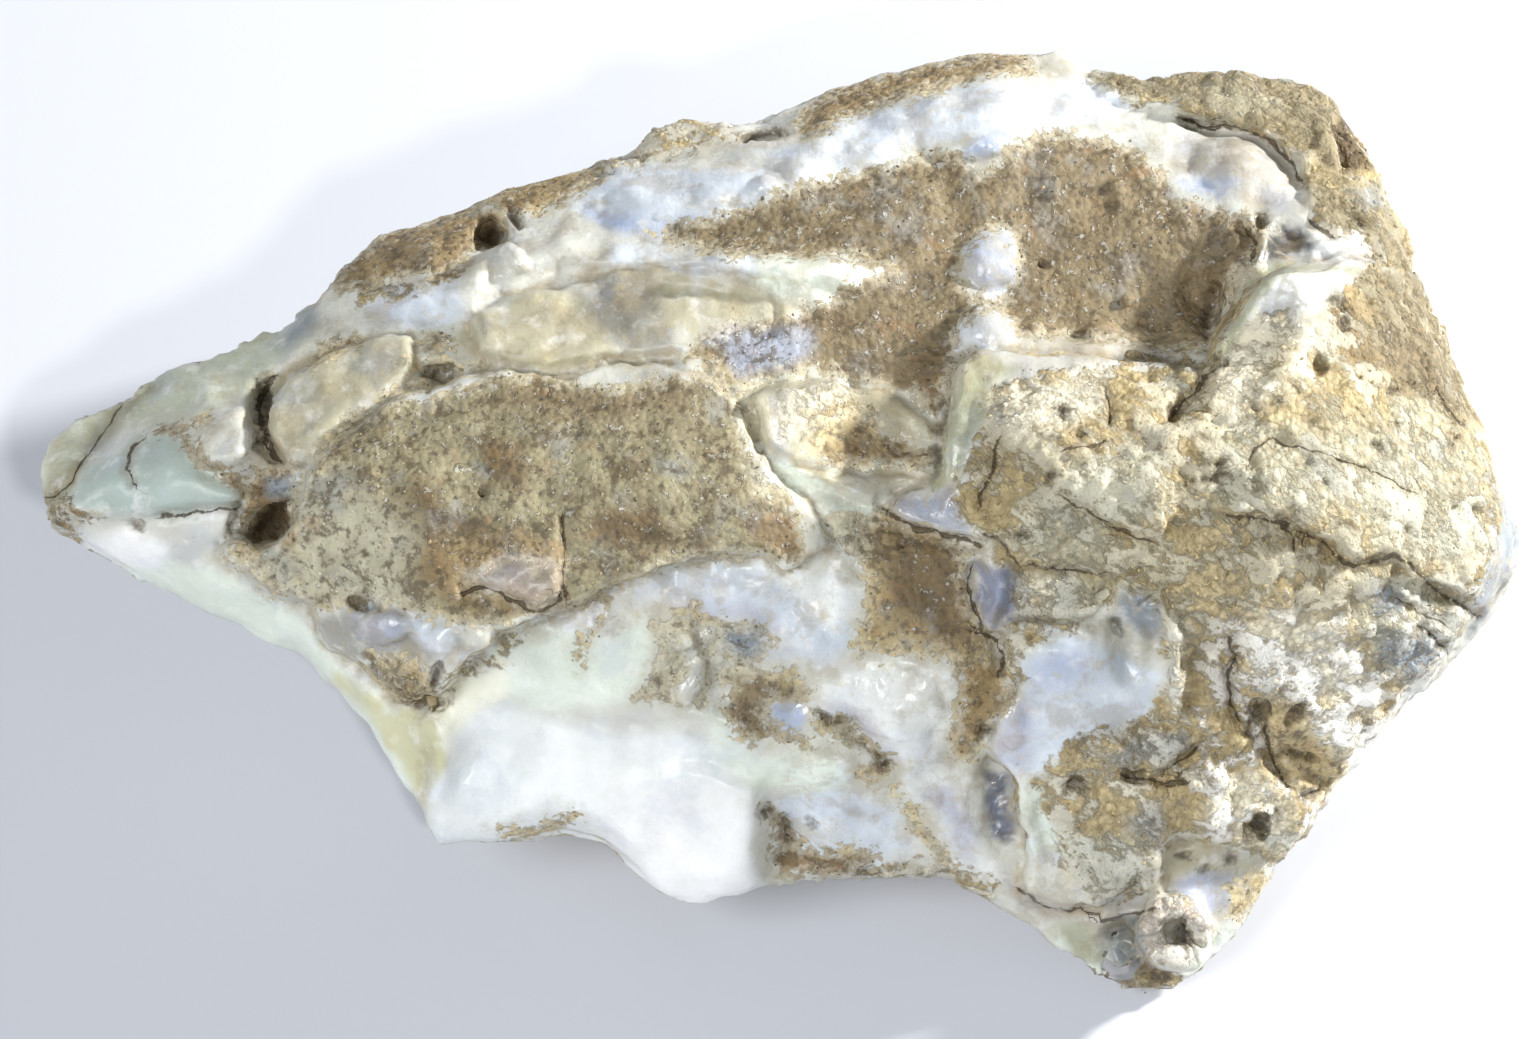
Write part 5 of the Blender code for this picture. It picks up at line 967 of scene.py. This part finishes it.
def addStone():
    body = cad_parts["rough_opal"]
    stone = bpy.data.objects.new("weatheredStone", body.data.copy())
    bpy.context.scene.collection.objects.link(stone)
    stone.data.materials.clear()
    selectOnly(stone)
    bpy.ops.object.mode_set(mode="EDIT")
    bpy.ops.mesh.select_all(action="SELECT")
    bpy.ops.mesh.remove_doubles(threshold=0.01 * mm)
    bpy.ops.object.mode_set(mode="OBJECT")
    applyNew(stone, "REMESH", mode="VOXEL", voxel_size=sculpt["voxel"])
    applyNew(stone, "SMOOTH", factor=0.5, iterations=sculpt["softening"])
    print("stone: remeshed,", len(stone.data.polygons), "faces")

    points, normals = pointsOf(stone.data), normalsOf(stone.data)
    places, facing, marks = markingsOf(points, normals)
    lift = reliefOf(points, places, facing, marks)
    points += normals * (lift * mm)[:, None]
    points = np.clip(points, cadBox[0], cadBox[1])
    stone.data.vertices.foreach_set("co", points.astype(np.float32).ravel())
    stone.data.update()
    stone.data.calc_loop_triangles()
    applyNew(stone, "DECIMATE", ratio=sculpt["triangles"] / len(stone.data.loop_triangles))
    stone.data.shade_smooth()
    print("stone: sculpted,", len(stone.data.polygons), "faces")

    mesh = stone.data
    points = pointsOf(mesh)
    places, facing, marks = markingsOf(points, normalsOf(mesh))
    for name, values in marks.items():
        storeValue(mesh, name, values)
    storeColour(mesh, "bodyTint", layTints(places, facing, bodyPaint, "duskyMilk"))
    storeColour(mesh, "coverTint", layTints(places, facing, coverPaint, "tan"))
    return stone


# Lengths in mm. "sunk" is the share of its half size by which a grain is buried, "deep" how far inside
# its covering grains begin, "edge" over how much further they reach their full number, and "tones"
# how bright they are.
grains = {
    "sand": {
        "most": 3400, "spacing": 0.34, "half": (0.08, 0.17), "sunk": 0.6, "seed": 11,
        "deep": 0.0, "edge": 0.2,
        "tones": ([0.0, 0.35, 0.6, 0.9, 1.0], [0.4, 0.65, 1.0, 1.25, 1.6]),
    },
    "crumbs": {
        "most": 2600, "spacing": 0.42, "half": (0.07, 0.17), "sunk": 0.45, "seed": 23,
        "deep": 0.2, "edge": 0.4,
        "tones": ([0.0, 0.4, 0.8, 1.0], [0.55, 0.85, 1.1, 1.35]),
    },
    "shapes": 4,
    "smallest": 2.2,  # how strongly small grains outnumber large ones
    "clear": 0.06,  # share of grains that are clear quartz
    # grains in a hollow are darkened as dirt and painted shade
    "dirtAndShadeInHollow": 0.65,  # how much darker grains are in a hollow
}


def grainShapes():
    shapes = []
    for count in range(grains["shapes"]):
        bpy.ops.object.select_all(action="DESELECT")
        bpy.ops.mesh.primitive_ico_sphere_add(subdivisions=1, radius=1.0)
        grain = bpy.context.object
        bpy.ops.object.mode_set(mode="EDIT")
        bpy.ops.mesh.select_all(action="SELECT")
        bpy.ops.transform.vertex_random(offset=0.25, seed=count)
        bpy.ops.transform.resize(value=(1.15, 0.95, 0.8))
        bpy.ops.mesh.bisect(
            plane_co=(0.0, 0.0, 0.55), plane_no=(0.3, 0.2, 1.0), use_fill=True, clear_outer=True
        )
        bpy.ops.mesh.select_all(action="SELECT")
        bpy.ops.mesh.quads_convert_to_tris()
        bpy.ops.object.mode_set(mode="OBJECT")
        faces = np.array([face.vertices[:] for face in grain.data.polygons])
        shapes.append((pointsOf(grain.data), faces))
        bpy.data.objects.remove(grain)
    return shapes


def spotsOn(stone, share, settings):  # places on the stone that are never nearer than the spacing
    mesh = stone.data
    mesh.calc_loop_triangles()
    corners = np.empty(len(mesh.loop_triangles) * 3, np.int32)
    mesh.loop_triangles.foreach_get("vertices", corners)
    corners = corners.reshape(-1, 3)
    points, normals = pointsOf(mesh), normalsOf(mesh)
    sides = points[corners]
    areas = np.linalg.norm(np.cross(sides[:, 1] - sides[:, 0], sides[:, 2] - sides[:, 0]), axis=1)
    chance = areas * share[corners].mean(axis=1)
    pick = np.random.default_rng(settings["seed"])
    rows = pick.choice(len(corners), 12 * settings["most"], p=chance / chance.sum())
    blend = pick.dirichlet((1.0, 1.0, 1.0), len(rows))
    spots = np.einsum("ij,ijk->ik", blend, points[corners[rows]])
    spacing = settings["spacing"] * mm
    steps = np.indices((3, 3, 3)).reshape(3, -1).T - 1
    taken, kept = {}, []
    for row, spot in enumerate(spots):
        cell = np.floor(spot / spacing).astype(int)
        around = [tuple(place) for place in cell + steps]
        if any(np.sum((taken[place] - spot) ** 2) < spacing**2 for place in around if place in taken):
            continue
        taken[tuple(cell)] = spot
        kept.append(row)
        if len(kept) == settings["most"]:
            break
    owners = corners[rows[kept], np.argmax(blend[kept], axis=1)]
    return spots[kept], normals[owners], owners


def addGrains(name, stone, share, settings):
    spots, outward, owners = spotsOn(stone, share, settings)
    pick = np.random.default_rng(settings["seed"] + 1)
    count = len(spots)
    small, large = settings["half"]
    half = small + (large - small) * pick.random(count) ** grains["smallest"]
    turns = pick.normal(size=(count, 4))
    turns /= np.linalg.norm(turns, axis=1)[:, None]
    stretch = pick.uniform(0.75, 1.2, (count, 3))
    centre = spots - outward * (settings["sunk"] * half * mm)[:, None]

    cover = np.empty(len(stone.data.vertices) * 4, np.float32)
    stone.data.attributes["coverTint"].data.foreach_get("color", cover)
    hollow = storedOn(stone.data, "hollowEdge")
    tone = np.interp(pick.random(count), *settings["tones"])
    # grains in hollows are darkened: dirt and painted shade
    tone *= 1.0 - grains["dirtAndShadeInHollow"] * smooth(hollow[owners] / 0.3 + 0.6)
    warm = pick.normal(0.0, 0.05, count)[:, None] * np.array([1.0, 0.1, -1.2])
    tint = np.clip(cover.reshape(-1, 4)[owners, :3] * tone[:, None] * (1.0 + warm), 0.0, 0.95)
    clear = pick.random(count) < grains["clear"]
    tint[clear] = np.clip(0.4 * tint[clear] + 0.38, 0.0, 0.95)
    shine = np.where(clear, 0.1, pick.uniform(0.3, 0.65, count))

    shapes = grainShapes()
    allPoints, allFaces, owner, total = [], [], [], 0
    for row in range(count):
        shapePoints, shapeFaces = shapes[row % len(shapes)]
        turn = np.array(Quaternion(turns[row]).to_matrix())
        allPoints.append((shapePoints * stretch[row]) @ turn.T * (half[row] * mm) + centre[row])
        allFaces.append(shapeFaces + total)
        owner.append(np.full(len(shapePoints), row))
        total += len(shapePoints)
    points = np.clip(np.vstack(allPoints), cadBox[0], cadBox[1])
    owner = np.concatenate(owner)
    mesh = bpy.data.meshes.new(name)
    mesh.from_pydata(points.tolist(), [], np.vstack(allFaces).tolist())
    mesh.update()
    storeColour(mesh, "grainTint", tint[owner])
    storeValue(mesh, "grainShine", shine[owner])
    heap = bpy.data.objects.new(name, mesh)
    bpy.context.scene.collection.objects.link(heap)
    mesh.shade_smooth()
    print(name, count, "grains,", len(mesh.polygons), "faces")
    return heap


def put(tree, kind, **settings):
    made = tree.nodes.new(kind)
    for name, value in settings.items():
        setattr(made, name, value)
    return made


def feed(tree, source, socket):
    if isinstance(source, bpy.types.NodeSocket):
        tree.links.new(source, socket)
    else:
        socket.default_value = source


def calc(tree, operation, first, second=0.0, third=0.0):
    made = put(tree, "ShaderNodeMath", operation=operation)
    for socket, source in zip(made.inputs, (first, second, third)):
        feed(tree, source, socket)
    return made.outputs[0]


def ramp(tree, value, low, high, bottom=0.0, top=1.0, kind="SMOOTHSTEP"):
    made = put(tree, "ShaderNodeMapRange", interpolation_type=kind)
    for socket, source in zip(made.inputs, (value, low, high, bottom, top)):
        feed(tree, source, socket)
    return made.outputs[0]


def mix(tree, share, first, second):
    made = put(tree, "ShaderNodeMix", data_type="RGBA")
    for number, source in ((0, share), (6, first), (7, second)):
        feed(tree, source, made.inputs[number])
    return made.outputs[2]


def mixValue(tree, share, first, second):
    made = put(tree, "ShaderNodeMix", data_type="FLOAT")
    for number, source in ((0, share), (2, first), (3, second)):
        feed(tree, source, made.inputs[number])
    return made.outputs[0]


def stored(tree, name, colour=False):
    made = put(tree, "ShaderNodeAttribute", attribute_name=name)
    return made.outputs["Color"] if colour else made.outputs["Fac"]


def brightened(tree, colour, factor):
    made = put(tree, "ShaderNodeVectorMath", operation="SCALE")
    feed(tree, colour, made.inputs[0])
    feed(tree, factor, made.inputs["Scale"])
    return made.outputs[0]


def cellsAt(tree, spot, scale):  # distance from a cell's middle, and each cell's own tone
    made = put(tree, "ShaderNodeTexVoronoi")
    feed(tree, spot, made.inputs["Vector"])
    made.inputs["Scale"].default_value = scale
    channels = put(tree, "ShaderNodeSeparateColor")
    feed(tree, made.outputs["Color"], channels.inputs[0])
    return made.outputs["Distance"], channels.outputs[0]


def bent(tree, spot, scale, reach):  # the same place, pushed about by noise
    push = put(tree, "ShaderNodeTexNoise")
    feed(tree, spot, push.inputs["Vector"])
    push.inputs["Scale"].default_value = scale
    made = put(tree, "ShaderNodeVectorMath", operation="MULTIPLY_ADD")
    feed(tree, push.outputs["Color"], made.inputs[0])
    made.inputs[1].default_value = (reach, reach, reach)
    feed(tree, spot, made.inputs[2])
    return made.outputs[0]


def streaked(tree, spot):  # noise read here runs in streaks towards the near right
    made = put(tree, "ShaderNodeMapping", vector_type="TEXTURE")
    feed(tree, spot, made.inputs["Vector"])
    made.inputs["Rotation"].default_value = (0.0, 0.0, math.radians(-38.0))
    made.inputs["Scale"].default_value = (2.0, 1.0, 1.0)
    return made.outputs[0]


def apart(tree, spot):  # far enough away that its noise has nothing to do with the noise here
    made = put(tree, "ShaderNodeVectorMath", operation="ADD")
    feed(tree, spot, made.inputs[0])
    made.inputs[1].default_value = (0.4, 0.7, 0.2)
    return made.outputs[0]


# Noise in the stone's material: (scale per metre, detail, roughness).
noises = {
    "broad": (230.0, 3.0, 0.55),
    "middle": (800.0, 4.0, 0.6),
    "border": (1500.0, 4.0, 0.7),
    "cool": (300.0, 4.0, 0.6),
    "dust": (420.0, 6.0, 0.68),
    "flecks": (1100.0, 5.0, 0.7),
    "clumps": (260.0, 3.0, 0.6),
    "net": (700.0, 6.0, 0.7),
    "skin": (480.0, 5.0, 0.6),
    "pores": (1500.0, 3.0, 0.55),
    "rust": (650.0, 4.0, 0.6),
    "veil": (430.0, 4.0, 0.6),
    "clusters": (520.0, 4.0, 0.65),
    "specks": (1900.0, 3.0, 0.6),
    "paleGrains": (2100.0, 3.0, 0.6),
}

# Where a mark starts and where it is full, then what it gives there if that isn't 0 and 1.
levels = {
    "sand": (-0.08, 0.08),
    "crust": (-0.2, 0.25),
    "stain": (-1.1, 0.3),
    "hollow": (-0.2, 0.25),
    "crack": (-0.03, 0.06),
    "crackGaps": (0.36, 0.6, 0.1, 0.9),
    "besideCrack": (-0.1, 0.4),
    "seamAndFootShade": (0.42, 0.6),
    "weathered": (0.3, -0.5),
    "milkiness": (0.3, 0.7, 0.9, 1.05),
    "cool": (0.5, 0.66),
    "snow": (0.52, 0.7),
    "dust": (0.47, 0.6),
    "flecks": (0.55, 0.66),
    "raised": (0.465, 0.545),
    "crumbTones": (0.0, 1.0, 0.8, 1.2),
    "crumbGaps": (0.4, 0.66),
    "crumbRimsAndShade": (0.025, 0.0),
    "skin": (0.35, 0.65, 0.88, 1.22),
    "pores": (0.62, 0.7),
    "cement": (0.3, 0.7, 0.86, 1.2),
    "rust": (0.56, 0.68),
    "veil": (0.52, 0.68),
    "clusters": (0.36, 0.66),
    "specks": (0.53, 0.7),
    "paleGrains": (0.58, 0.7),
    "sandRim": (0.75, 0.05),
}

# Tints laid over one another: (tint, its share where the mark is full).
stains = {
    "coolOpal": ("deepBlue", 0.22),
    "snow": ("snow", 0.35),
    "besideSand": ("graySand", 0.34),
    "seamAndFootShade": ("brown", 0.6),
    "crumbGaps": ("brown", 0.4),
    "coolSkin": ("slate", 0.25),
    "crumbRimsAndShade": ("brown", 0.3),
    "pores": ("darkSand", 0.5),
    "rust": ("rust", 0.3),
    "veil": ("slate", 0.42),
    "specks": ("darkGrain", 0.75),
    "clusters": ("darkSand", 0.3),
    "paleGrains": ("paleGrain", 0.42),
    "sandRim": ("cream", 0.35),
    "besideCrack": ("brown", 0.3),
    "hollow": ("umber", 0.75),
    "crack": ("umber", 0.85),
}

# How ragged each border is.
frays = {"cell": 0.45, "sand": 2.0, "crust": 2.6, "stain": 3.0, "hollow": 1.3}

finish = {
    "grainScale": 2800.0,  # per metre: one grain is about a third of a millimetre
    "crumbScale": 2600.0,
    "crumbBend": (900.0, 0.35 * mm),  # scale of the noise that bends crumbs, and its reach
    "fineScale": 2600.0,
    "mottleScale": 4200.0,
    "dust": (0.04, 0.34),  # share on fresh and on weathered opal
    "flecks": (0.03, 0.32),
    "clumping": 0.5,
    "crumbsOnLedges": -0.025,
    "crumbRim": 0.475,
    "opalInSkin": 0.6,
    "specksInClusters": 0.13,
    "besideCrack": 4.0,  # width of the stain along a crack, in widths of the crack
    "opalRoughness": (0.3, 0.5),
    "wetRoughness": 0.12,
    "crustRoughness": 0.6,
    "sandRoughness": 0.7,
    "coat": 0.22,
    "wetCoat": 0.8,
    "coatRoughness": 0.2,
    "glow": 0.2,  # light that passes through the opal's skin
    "glowReach": (2.6 * mm, 2.4 * mm, 2.2 * mm),
    "bump": 0.22 * mm,
    "bumpStrength": 0.9,
    "crumbHeight": 1.6,
    "fineOnCrumbs": 0.4,
    "fineOnOpal": 0.1,
    "grainHeight": 0.6,
    "grainGap": 0.45,
    "crackDepth": 1.3,
}


def flat(tint):
    return (*linear(tints[tint]), 1.0)


def noiseAt(tree, spot, name):
    made = put(tree, "ShaderNodeTexNoise")
    feed(tree, spot, made.inputs["Vector"])
    for socket, value in zip(("Scale", "Detail", "Roughness"), noises[name]):
        made.inputs[socket].default_value = value
    return made.outputs["Fac"]


def markAt(tree, spot, name):
    return ramp(tree, noiseAt(tree, spot, name), *levels[name])


def stained(tree, colour, mark, name):
    tint, share = stains[name]
    return mix(tree, calc(tree, "MULTIPLY", mark, share), colour, flat(tint))


def grainGroup():  # the mottled tone of one grain, for the grains and for what holds them
    group = bpy.data.node_groups.new("mineralSpeckle", "ShaderNodeTree")
    group.interface.new_socket("Spot", in_out="INPUT", socket_type="NodeSocketVector")
    group.interface.new_socket("Scale", in_out="INPUT", socket_type="NodeSocketFloat")
    group.interface.new_socket("Speckle", in_out="OUTPUT", socket_type="NodeSocketFloat")
    start = put(group, "NodeGroupInput")
    end = put(group, "NodeGroupOutput")
    noisy = put(group, "ShaderNodeTexNoise")
    noisy.inputs["Detail"].default_value = 4.0
    noisy.inputs["Roughness"].default_value = 0.65
    feed(group, start.outputs["Spot"], noisy.inputs["Vector"])
    feed(group, start.outputs["Scale"], noisy.inputs["Scale"])
    feed(group, ramp(group, noisy.outputs["Fac"], 0.3, 0.7), end.inputs["Speckle"])
    return group


def speckle(tree, group, spot, scale):
    made = put(tree, "ShaderNodeGroup", node_tree=group)
    feed(tree, spot, made.inputs["Spot"])
    made.inputs["Scale"].default_value = scale
    return made.outputs["Speckle"]


def stoneMaterial(group):
    material = bpy.data.materials.new("opalUnderCrust")
    material.use_nodes = True
    tree = material.node_tree
    surface = tree.nodes["Principled BSDF"]
    spot = put(tree, "ShaderNodeTexCoord").outputs["Object"]
    elsewhere = apart(tree, spot)
    streaks = streaked(tree, spot)

    broad = noiseAt(tree, spot, "broad")
    middle = noiseAt(tree, spot, "middle")
    border = noiseAt(tree, spot, "border")
    fine = speckle(tree, group, spot, finish["fineScale"])
    distance, cellTone = cellsAt(tree, spot, finish["grainScale"])

    # where each covering lies, with ragged borders
    wave = calc(tree, "SUBTRACT", middle, 0.5)
    fringe = calc(tree, "SUBTRACT", border, 0.5)
    byCell = calc(tree, "MULTIPLY", calc(tree, "SUBTRACT", cellTone, 0.5), frays["cell"])
    sandEdge = calc(tree, "MULTIPLY_ADD", fringe, frays["sand"], stored(tree, "sandEdge"))
    sandEdge = calc(tree, "ADD", sandEdge, byCell)
    sand = ramp(tree, sandEdge, *levels["sand"])
    crustEdge = calc(tree, "MULTIPLY_ADD", wave, frays["crust"], stored(tree, "crustEdge"))
    crust = ramp(tree, calc(tree, "ADD", crustEdge, byCell), *levels["crust"])
    besideSand = ramp(tree, calc(tree, "MULTIPLY_ADD", wave, frays["stain"], sandEdge), *levels["stain"])
    # hollows are stained umber: dirt and painted shade
    hollowEdge = calc(tree, "MULTIPLY_ADD", fringe, frays["hollow"], stored(tree, "hollowEdge"))
    hollow = ramp(tree, hollowEdge, *levels["hollow"])
    crackWidth = stored(tree, "crackWidth")
    crackAway = calc(tree, "ABSOLUTE", stored(tree, "crackSide"))
    broken = calc(tree, "MULTIPLY", crackWidth, ramp(tree, border, *levels["crackGaps"]))
    crack = ramp(tree, calc(tree, "SUBTRACT", broken, crackAway), *levels["crack"])
    stainWidth = calc(tree, "MULTIPLY", crackWidth, finish["besideCrack"])
    beside = ramp(tree, calc(tree, "SUBTRACT", stainWidth, crackAway), *levels["besideCrack"])
    # a brown line at the foot of each plate, with painted shade in the groove there
    seamAndFootShade = calc(tree, "MULTIPLY", stored(tree, "seamAndFootShade"), ramp(tree, middle, *levels["seamAndFootShade"]))
    weathered = ramp(tree, stored(tree, "fresh"), *levels["weathered"])

    # opal: milky clouds, and dust where it has weathered
    body = stored(tree, "bodyTint", True)
    opal = brightened(tree, body, ramp(tree, broad, *levels["milkiness"]))
    cool = markAt(tree, spot, "cool")
    opal = stained(tree, opal, cool, "coolOpal")
    opal = stained(tree, opal, ramp(tree, middle, *levels["snow"]), "snow")
    for name, place, tint in (("dust", spot, "brown"), ("flecks", elsewhere, "ochre")):
        share = mixValue(tree, weathered, *finish[name])
        opal = mix(tree, calc(tree, "MULTIPLY", markAt(tree, place, name), share), opal, flat(tint))
    opal = stained(tree, opal, besideSand, "besideSand")
    opal = stained(tree, opal, seamAndFootShade, "seamAndFootShade")

    # weathered skin: ochre crumbs with brown gaps, lying on pale opal
    cover = stored(tree, "coverTint", True)
    clumps = calc(tree, "SUBTRACT", noiseAt(tree, apart(tree, streaks), "clumps"), 0.5)
    net = noiseAt(tree, streaks, "net")
    net = calc(tree, "MULTIPLY_ADD", stored(tree, "ledge"), finish["crumbsOnLedges"], net)
    net = calc(tree, "MULTIPLY_ADD", clumps, finish["clumping"], net)
    raised = ramp(tree, net, *levels["raised"])
    crumbAway, crumbTone = cellsAt(tree, bent(tree, spot, *finish["crumbBend"]), finish["crumbScale"])
    crumb = brightened(tree, cover, ramp(tree, crumbTone, *levels["crumbTones"], "LINEAR"))
    crumb = stained(tree, crumb, ramp(tree, crumbAway, *levels["crumbGaps"]), "crumbGaps")
    skin = mix(tree, finish["opalInSkin"], cover, body)
    skin = brightened(tree, skin, markAt(tree, streaks, "skin"))
    skin = stained(tree, skin, cool, "coolSkin")
    skin = mix(tree, raised, skin, crumb)
    # brown edges round the crumbs, with painted shade along them
    fromRim = calc(tree, "ABSOLUTE", calc(tree, "SUBTRACT", net, finish["crumbRim"]))
    skin = stained(tree, skin, ramp(tree, fromRim, *levels["crumbRimsAndShade"]), "crumbRimsAndShade")
    skin = stained(tree, skin, markAt(tree, spot, "pores"), "pores")

    # sand held in the opal: pale cement with soft dark and bright grains in clusters
    bed = brightened(tree, cover, ramp(tree, middle, *levels["cement"]))
    bed = stained(tree, bed, markAt(tree, spot, "rust"), "rust")
    bed = stained(tree, bed, markAt(tree, elsewhere, "veil"), "veil")
    clusters = markAt(tree, spot, "clusters")
    specks = calc(tree, "MULTIPLY_ADD", clusters, finish["specksInClusters"], noiseAt(tree, spot, "specks"))
    bed = stained(tree, bed, ramp(tree, specks, *levels["specks"]), "specks")
    bed = stained(tree, bed, clusters, "clusters")
    paleGrains = markAt(tree, elsewhere, "paleGrains")
    bed = stained(tree, bed, paleGrains, "paleGrains")
    bed = stained(tree, bed, ramp(tree, sandEdge, *levels["sandRim"]), "sandRim")

    colour = mix(tree, crust, opal, skin)
    colour = mix(tree, sand, colour, bed)
    for mark, name in ((beside, "besideCrack"), (hollow, "hollow"), (crack, "crack")):
        colour = stained(tree, colour, mark, name)
    tree.links.new(colour, surface.inputs["Base Color"])

    bare = calc(tree, "MULTIPLY", calc(tree, "SUBTRACT", 1.0, sand), calc(tree, "SUBTRACT", 1.0, crust))
    wet = calc(tree, "MULTIPLY", stored(tree, "wet"), bare)
    rough = mixValue(tree, wet, ramp(tree, broad, 0.3, 0.7, *finish["opalRoughness"]), finish["wetRoughness"])
    rough = mixValue(tree, crust, rough, finish["crustRoughness"])
    rough = mixValue(tree, sand, rough, finish["sandRoughness"])
    tree.links.new(rough, surface.inputs["Roughness"])
    coat = mixValue(tree, wet, calc(tree, "MULTIPLY", bare, finish["coat"]), finish["wetCoat"])
    tree.links.new(coat, surface.inputs["Coat Weight"])
    surface.inputs["Coat Roughness"].default_value = finish["coatRoughness"]
    surface.inputs["Subsurface Weight"].default_value = finish["glow"]
    surface.inputs["Subsurface Radius"].default_value = finish["glowReach"]
    surface.inputs["Subsurface Scale"].default_value = 1.0

    # relief too fine for the mesh
    crumbly = calc(tree, "MULTIPLY", raised, calc(tree, "SUBTRACT", finish["crumbHeight"], crumbAway))
    crumbly = calc(tree, "MULTIPLY_ADD", fine, finish["fineOnCrumbs"], crumbly)
    height = mixValue(tree, crust, calc(tree, "MULTIPLY", fine, finish["fineOnOpal"]), crumbly)
    gaps = calc(tree, "MULTIPLY", distance, finish["grainGap"])
    gritty = calc(tree, "SUBTRACT", calc(tree, "MULTIPLY", paleGrains, finish["grainHeight"]), gaps)
    height = mixValue(tree, sand, height, gritty)
    height = calc(tree, "SUBTRACT", height, calc(tree, "MULTIPLY", crack, finish["crackDepth"]))
    bump = put(tree, "ShaderNodeBump")
    bump.inputs["Strength"].default_value = finish["bumpStrength"]
    bump.inputs["Distance"].default_value = finish["bump"]
    tree.links.new(height, bump.inputs["Height"])
    tree.links.new(bump.outputs[0], surface.inputs["Normal"])
    return material


def grainMaterial(group, name):
    material = bpy.data.materials.new(name)
    material.use_nodes = True
    tree = material.node_tree
    surface = tree.nodes["Principled BSDF"]
    spot = put(tree, "ShaderNodeTexCoord").outputs["Object"]
    mottle = speckle(tree, group, spot, finish["mottleScale"])
    colour = brightened(tree, stored(tree, "grainTint", True), ramp(tree, mottle, 0.0, 1.0, 0.75, 1.15))
    tree.links.new(colour, surface.inputs["Base Color"])
    tree.links.new(stored(tree, "grainShine"), surface.inputs["Roughness"])
    return material


studio = {
    "floorTint": (0.66, 0.68, 0.735),
    "sky": (0.17, 0.18, 0.19),
    # each light: place in metres, size, power in watts, tint
    "keyLight": ((0.257, 0.094, 0.126), 0.025, 1.66, (1.0, 0.99, 0.97)),
    "windowLight": ((-0.52, -0.28, 0.61), 0.5, 4.7, (0.95, 0.97, 1.0)),
    "glintLight": ((0.10, -0.38, 0.55), 0.06, 1.15, (1.0, 1.0, 1.0)),
}


def addLight(name, place, size, power, tint):
    light = bpy.data.lights.new(name, "AREA")
    light.shape = "DISK"
    light.size = size
    light.energy = power
    light.color = tint
    lamp = bpy.data.objects.new(name, light)
    bpy.context.scene.collection.objects.link(lamp)
    lamp.location = place
    lamp.rotation_euler = (Vector(place) - Vector((0.0, 0.0, 0.012))).to_track_quat("Z", "Y").to_euler()


def addStudio():
    bpy.ops.object.select_all(action="DESELECT")
    bpy.ops.mesh.primitive_plane_add(size=3.0)
    floor = bpy.context.object
    floor.name = "paleFloor"
    paper = bpy.data.materials.new("palePaper")
    paper.use_nodes = True
    surface = paper.node_tree.nodes["Principled BSDF"]
    surface.inputs["Base Color"].default_value = (*studio["floorTint"], 1.0)
    surface.inputs["Roughness"].default_value = 0.9
    surface.inputs["Specular IOR Level"].default_value = 0.0
    floor.data.materials.append(paper)

    sky = bpy.data.worlds.new("softSky")
    sky.use_nodes = True
    sky.node_tree.nodes["Background"].inputs["Color"].default_value = (*studio["sky"], 1.0)
    bpy.context.scene.world = sky
    for name in ("keyLight", "windowLight", "glintLight"):
        addLight(name, *studio[name])
    bpy.context.scene.view_settings.view_transform = "Standard"

    angle = math.radians(drawing["viewAngle"])
    back = Vector((0.0, -math.cos(angle), math.sin(angle)))
    height = drawing["middleHeight"]
    target = Vector((-drawing["acrossShift"], -drawing["depthShift"] - height / math.tan(angle), height)) * mm
    lens = bpy.data.cameras.new("viewer")
    lens.lens = drawing["lens"]
    lens.clip_end = 10.0
    camera = bpy.data.objects.new("viewer", lens)
    bpy.context.scene.collection.objects.link(camera)
    camera.location = target + back * (drawing["width"] * drawing["lens"] / lens.sensor_width * mm)
    camera.rotation_euler = back.to_track_quat("Z", "Y").to_euler()
    bpy.context.scene.camera = camera


stone = addStone()
speckleGroup = grainGroup()
stone.data.materials.append(stoneMaterial(speckleGroup))
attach(stone, "root")
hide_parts("rough_opal")

left = facingOf(normalsOf(stone.data))  # the share of each place that is free for grains
for name, edge in (("sand", "sandEdge"), ("crumbs", "crustEdge")):
    settings = grains[name]
    covered = smooth((storedOn(stone.data, edge) - settings["deep"]) / settings["edge"])
    share = covered * left
    left = left * (1.0 - share)
    heap = addGrains(name + "Grains", stone, share, settings)
    heap.data.materials.append(grainMaterial(speckleGroup, name + "Mineral"))
    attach(heap, "root")

addStudio()
print("studio: floor, lights and camera set")
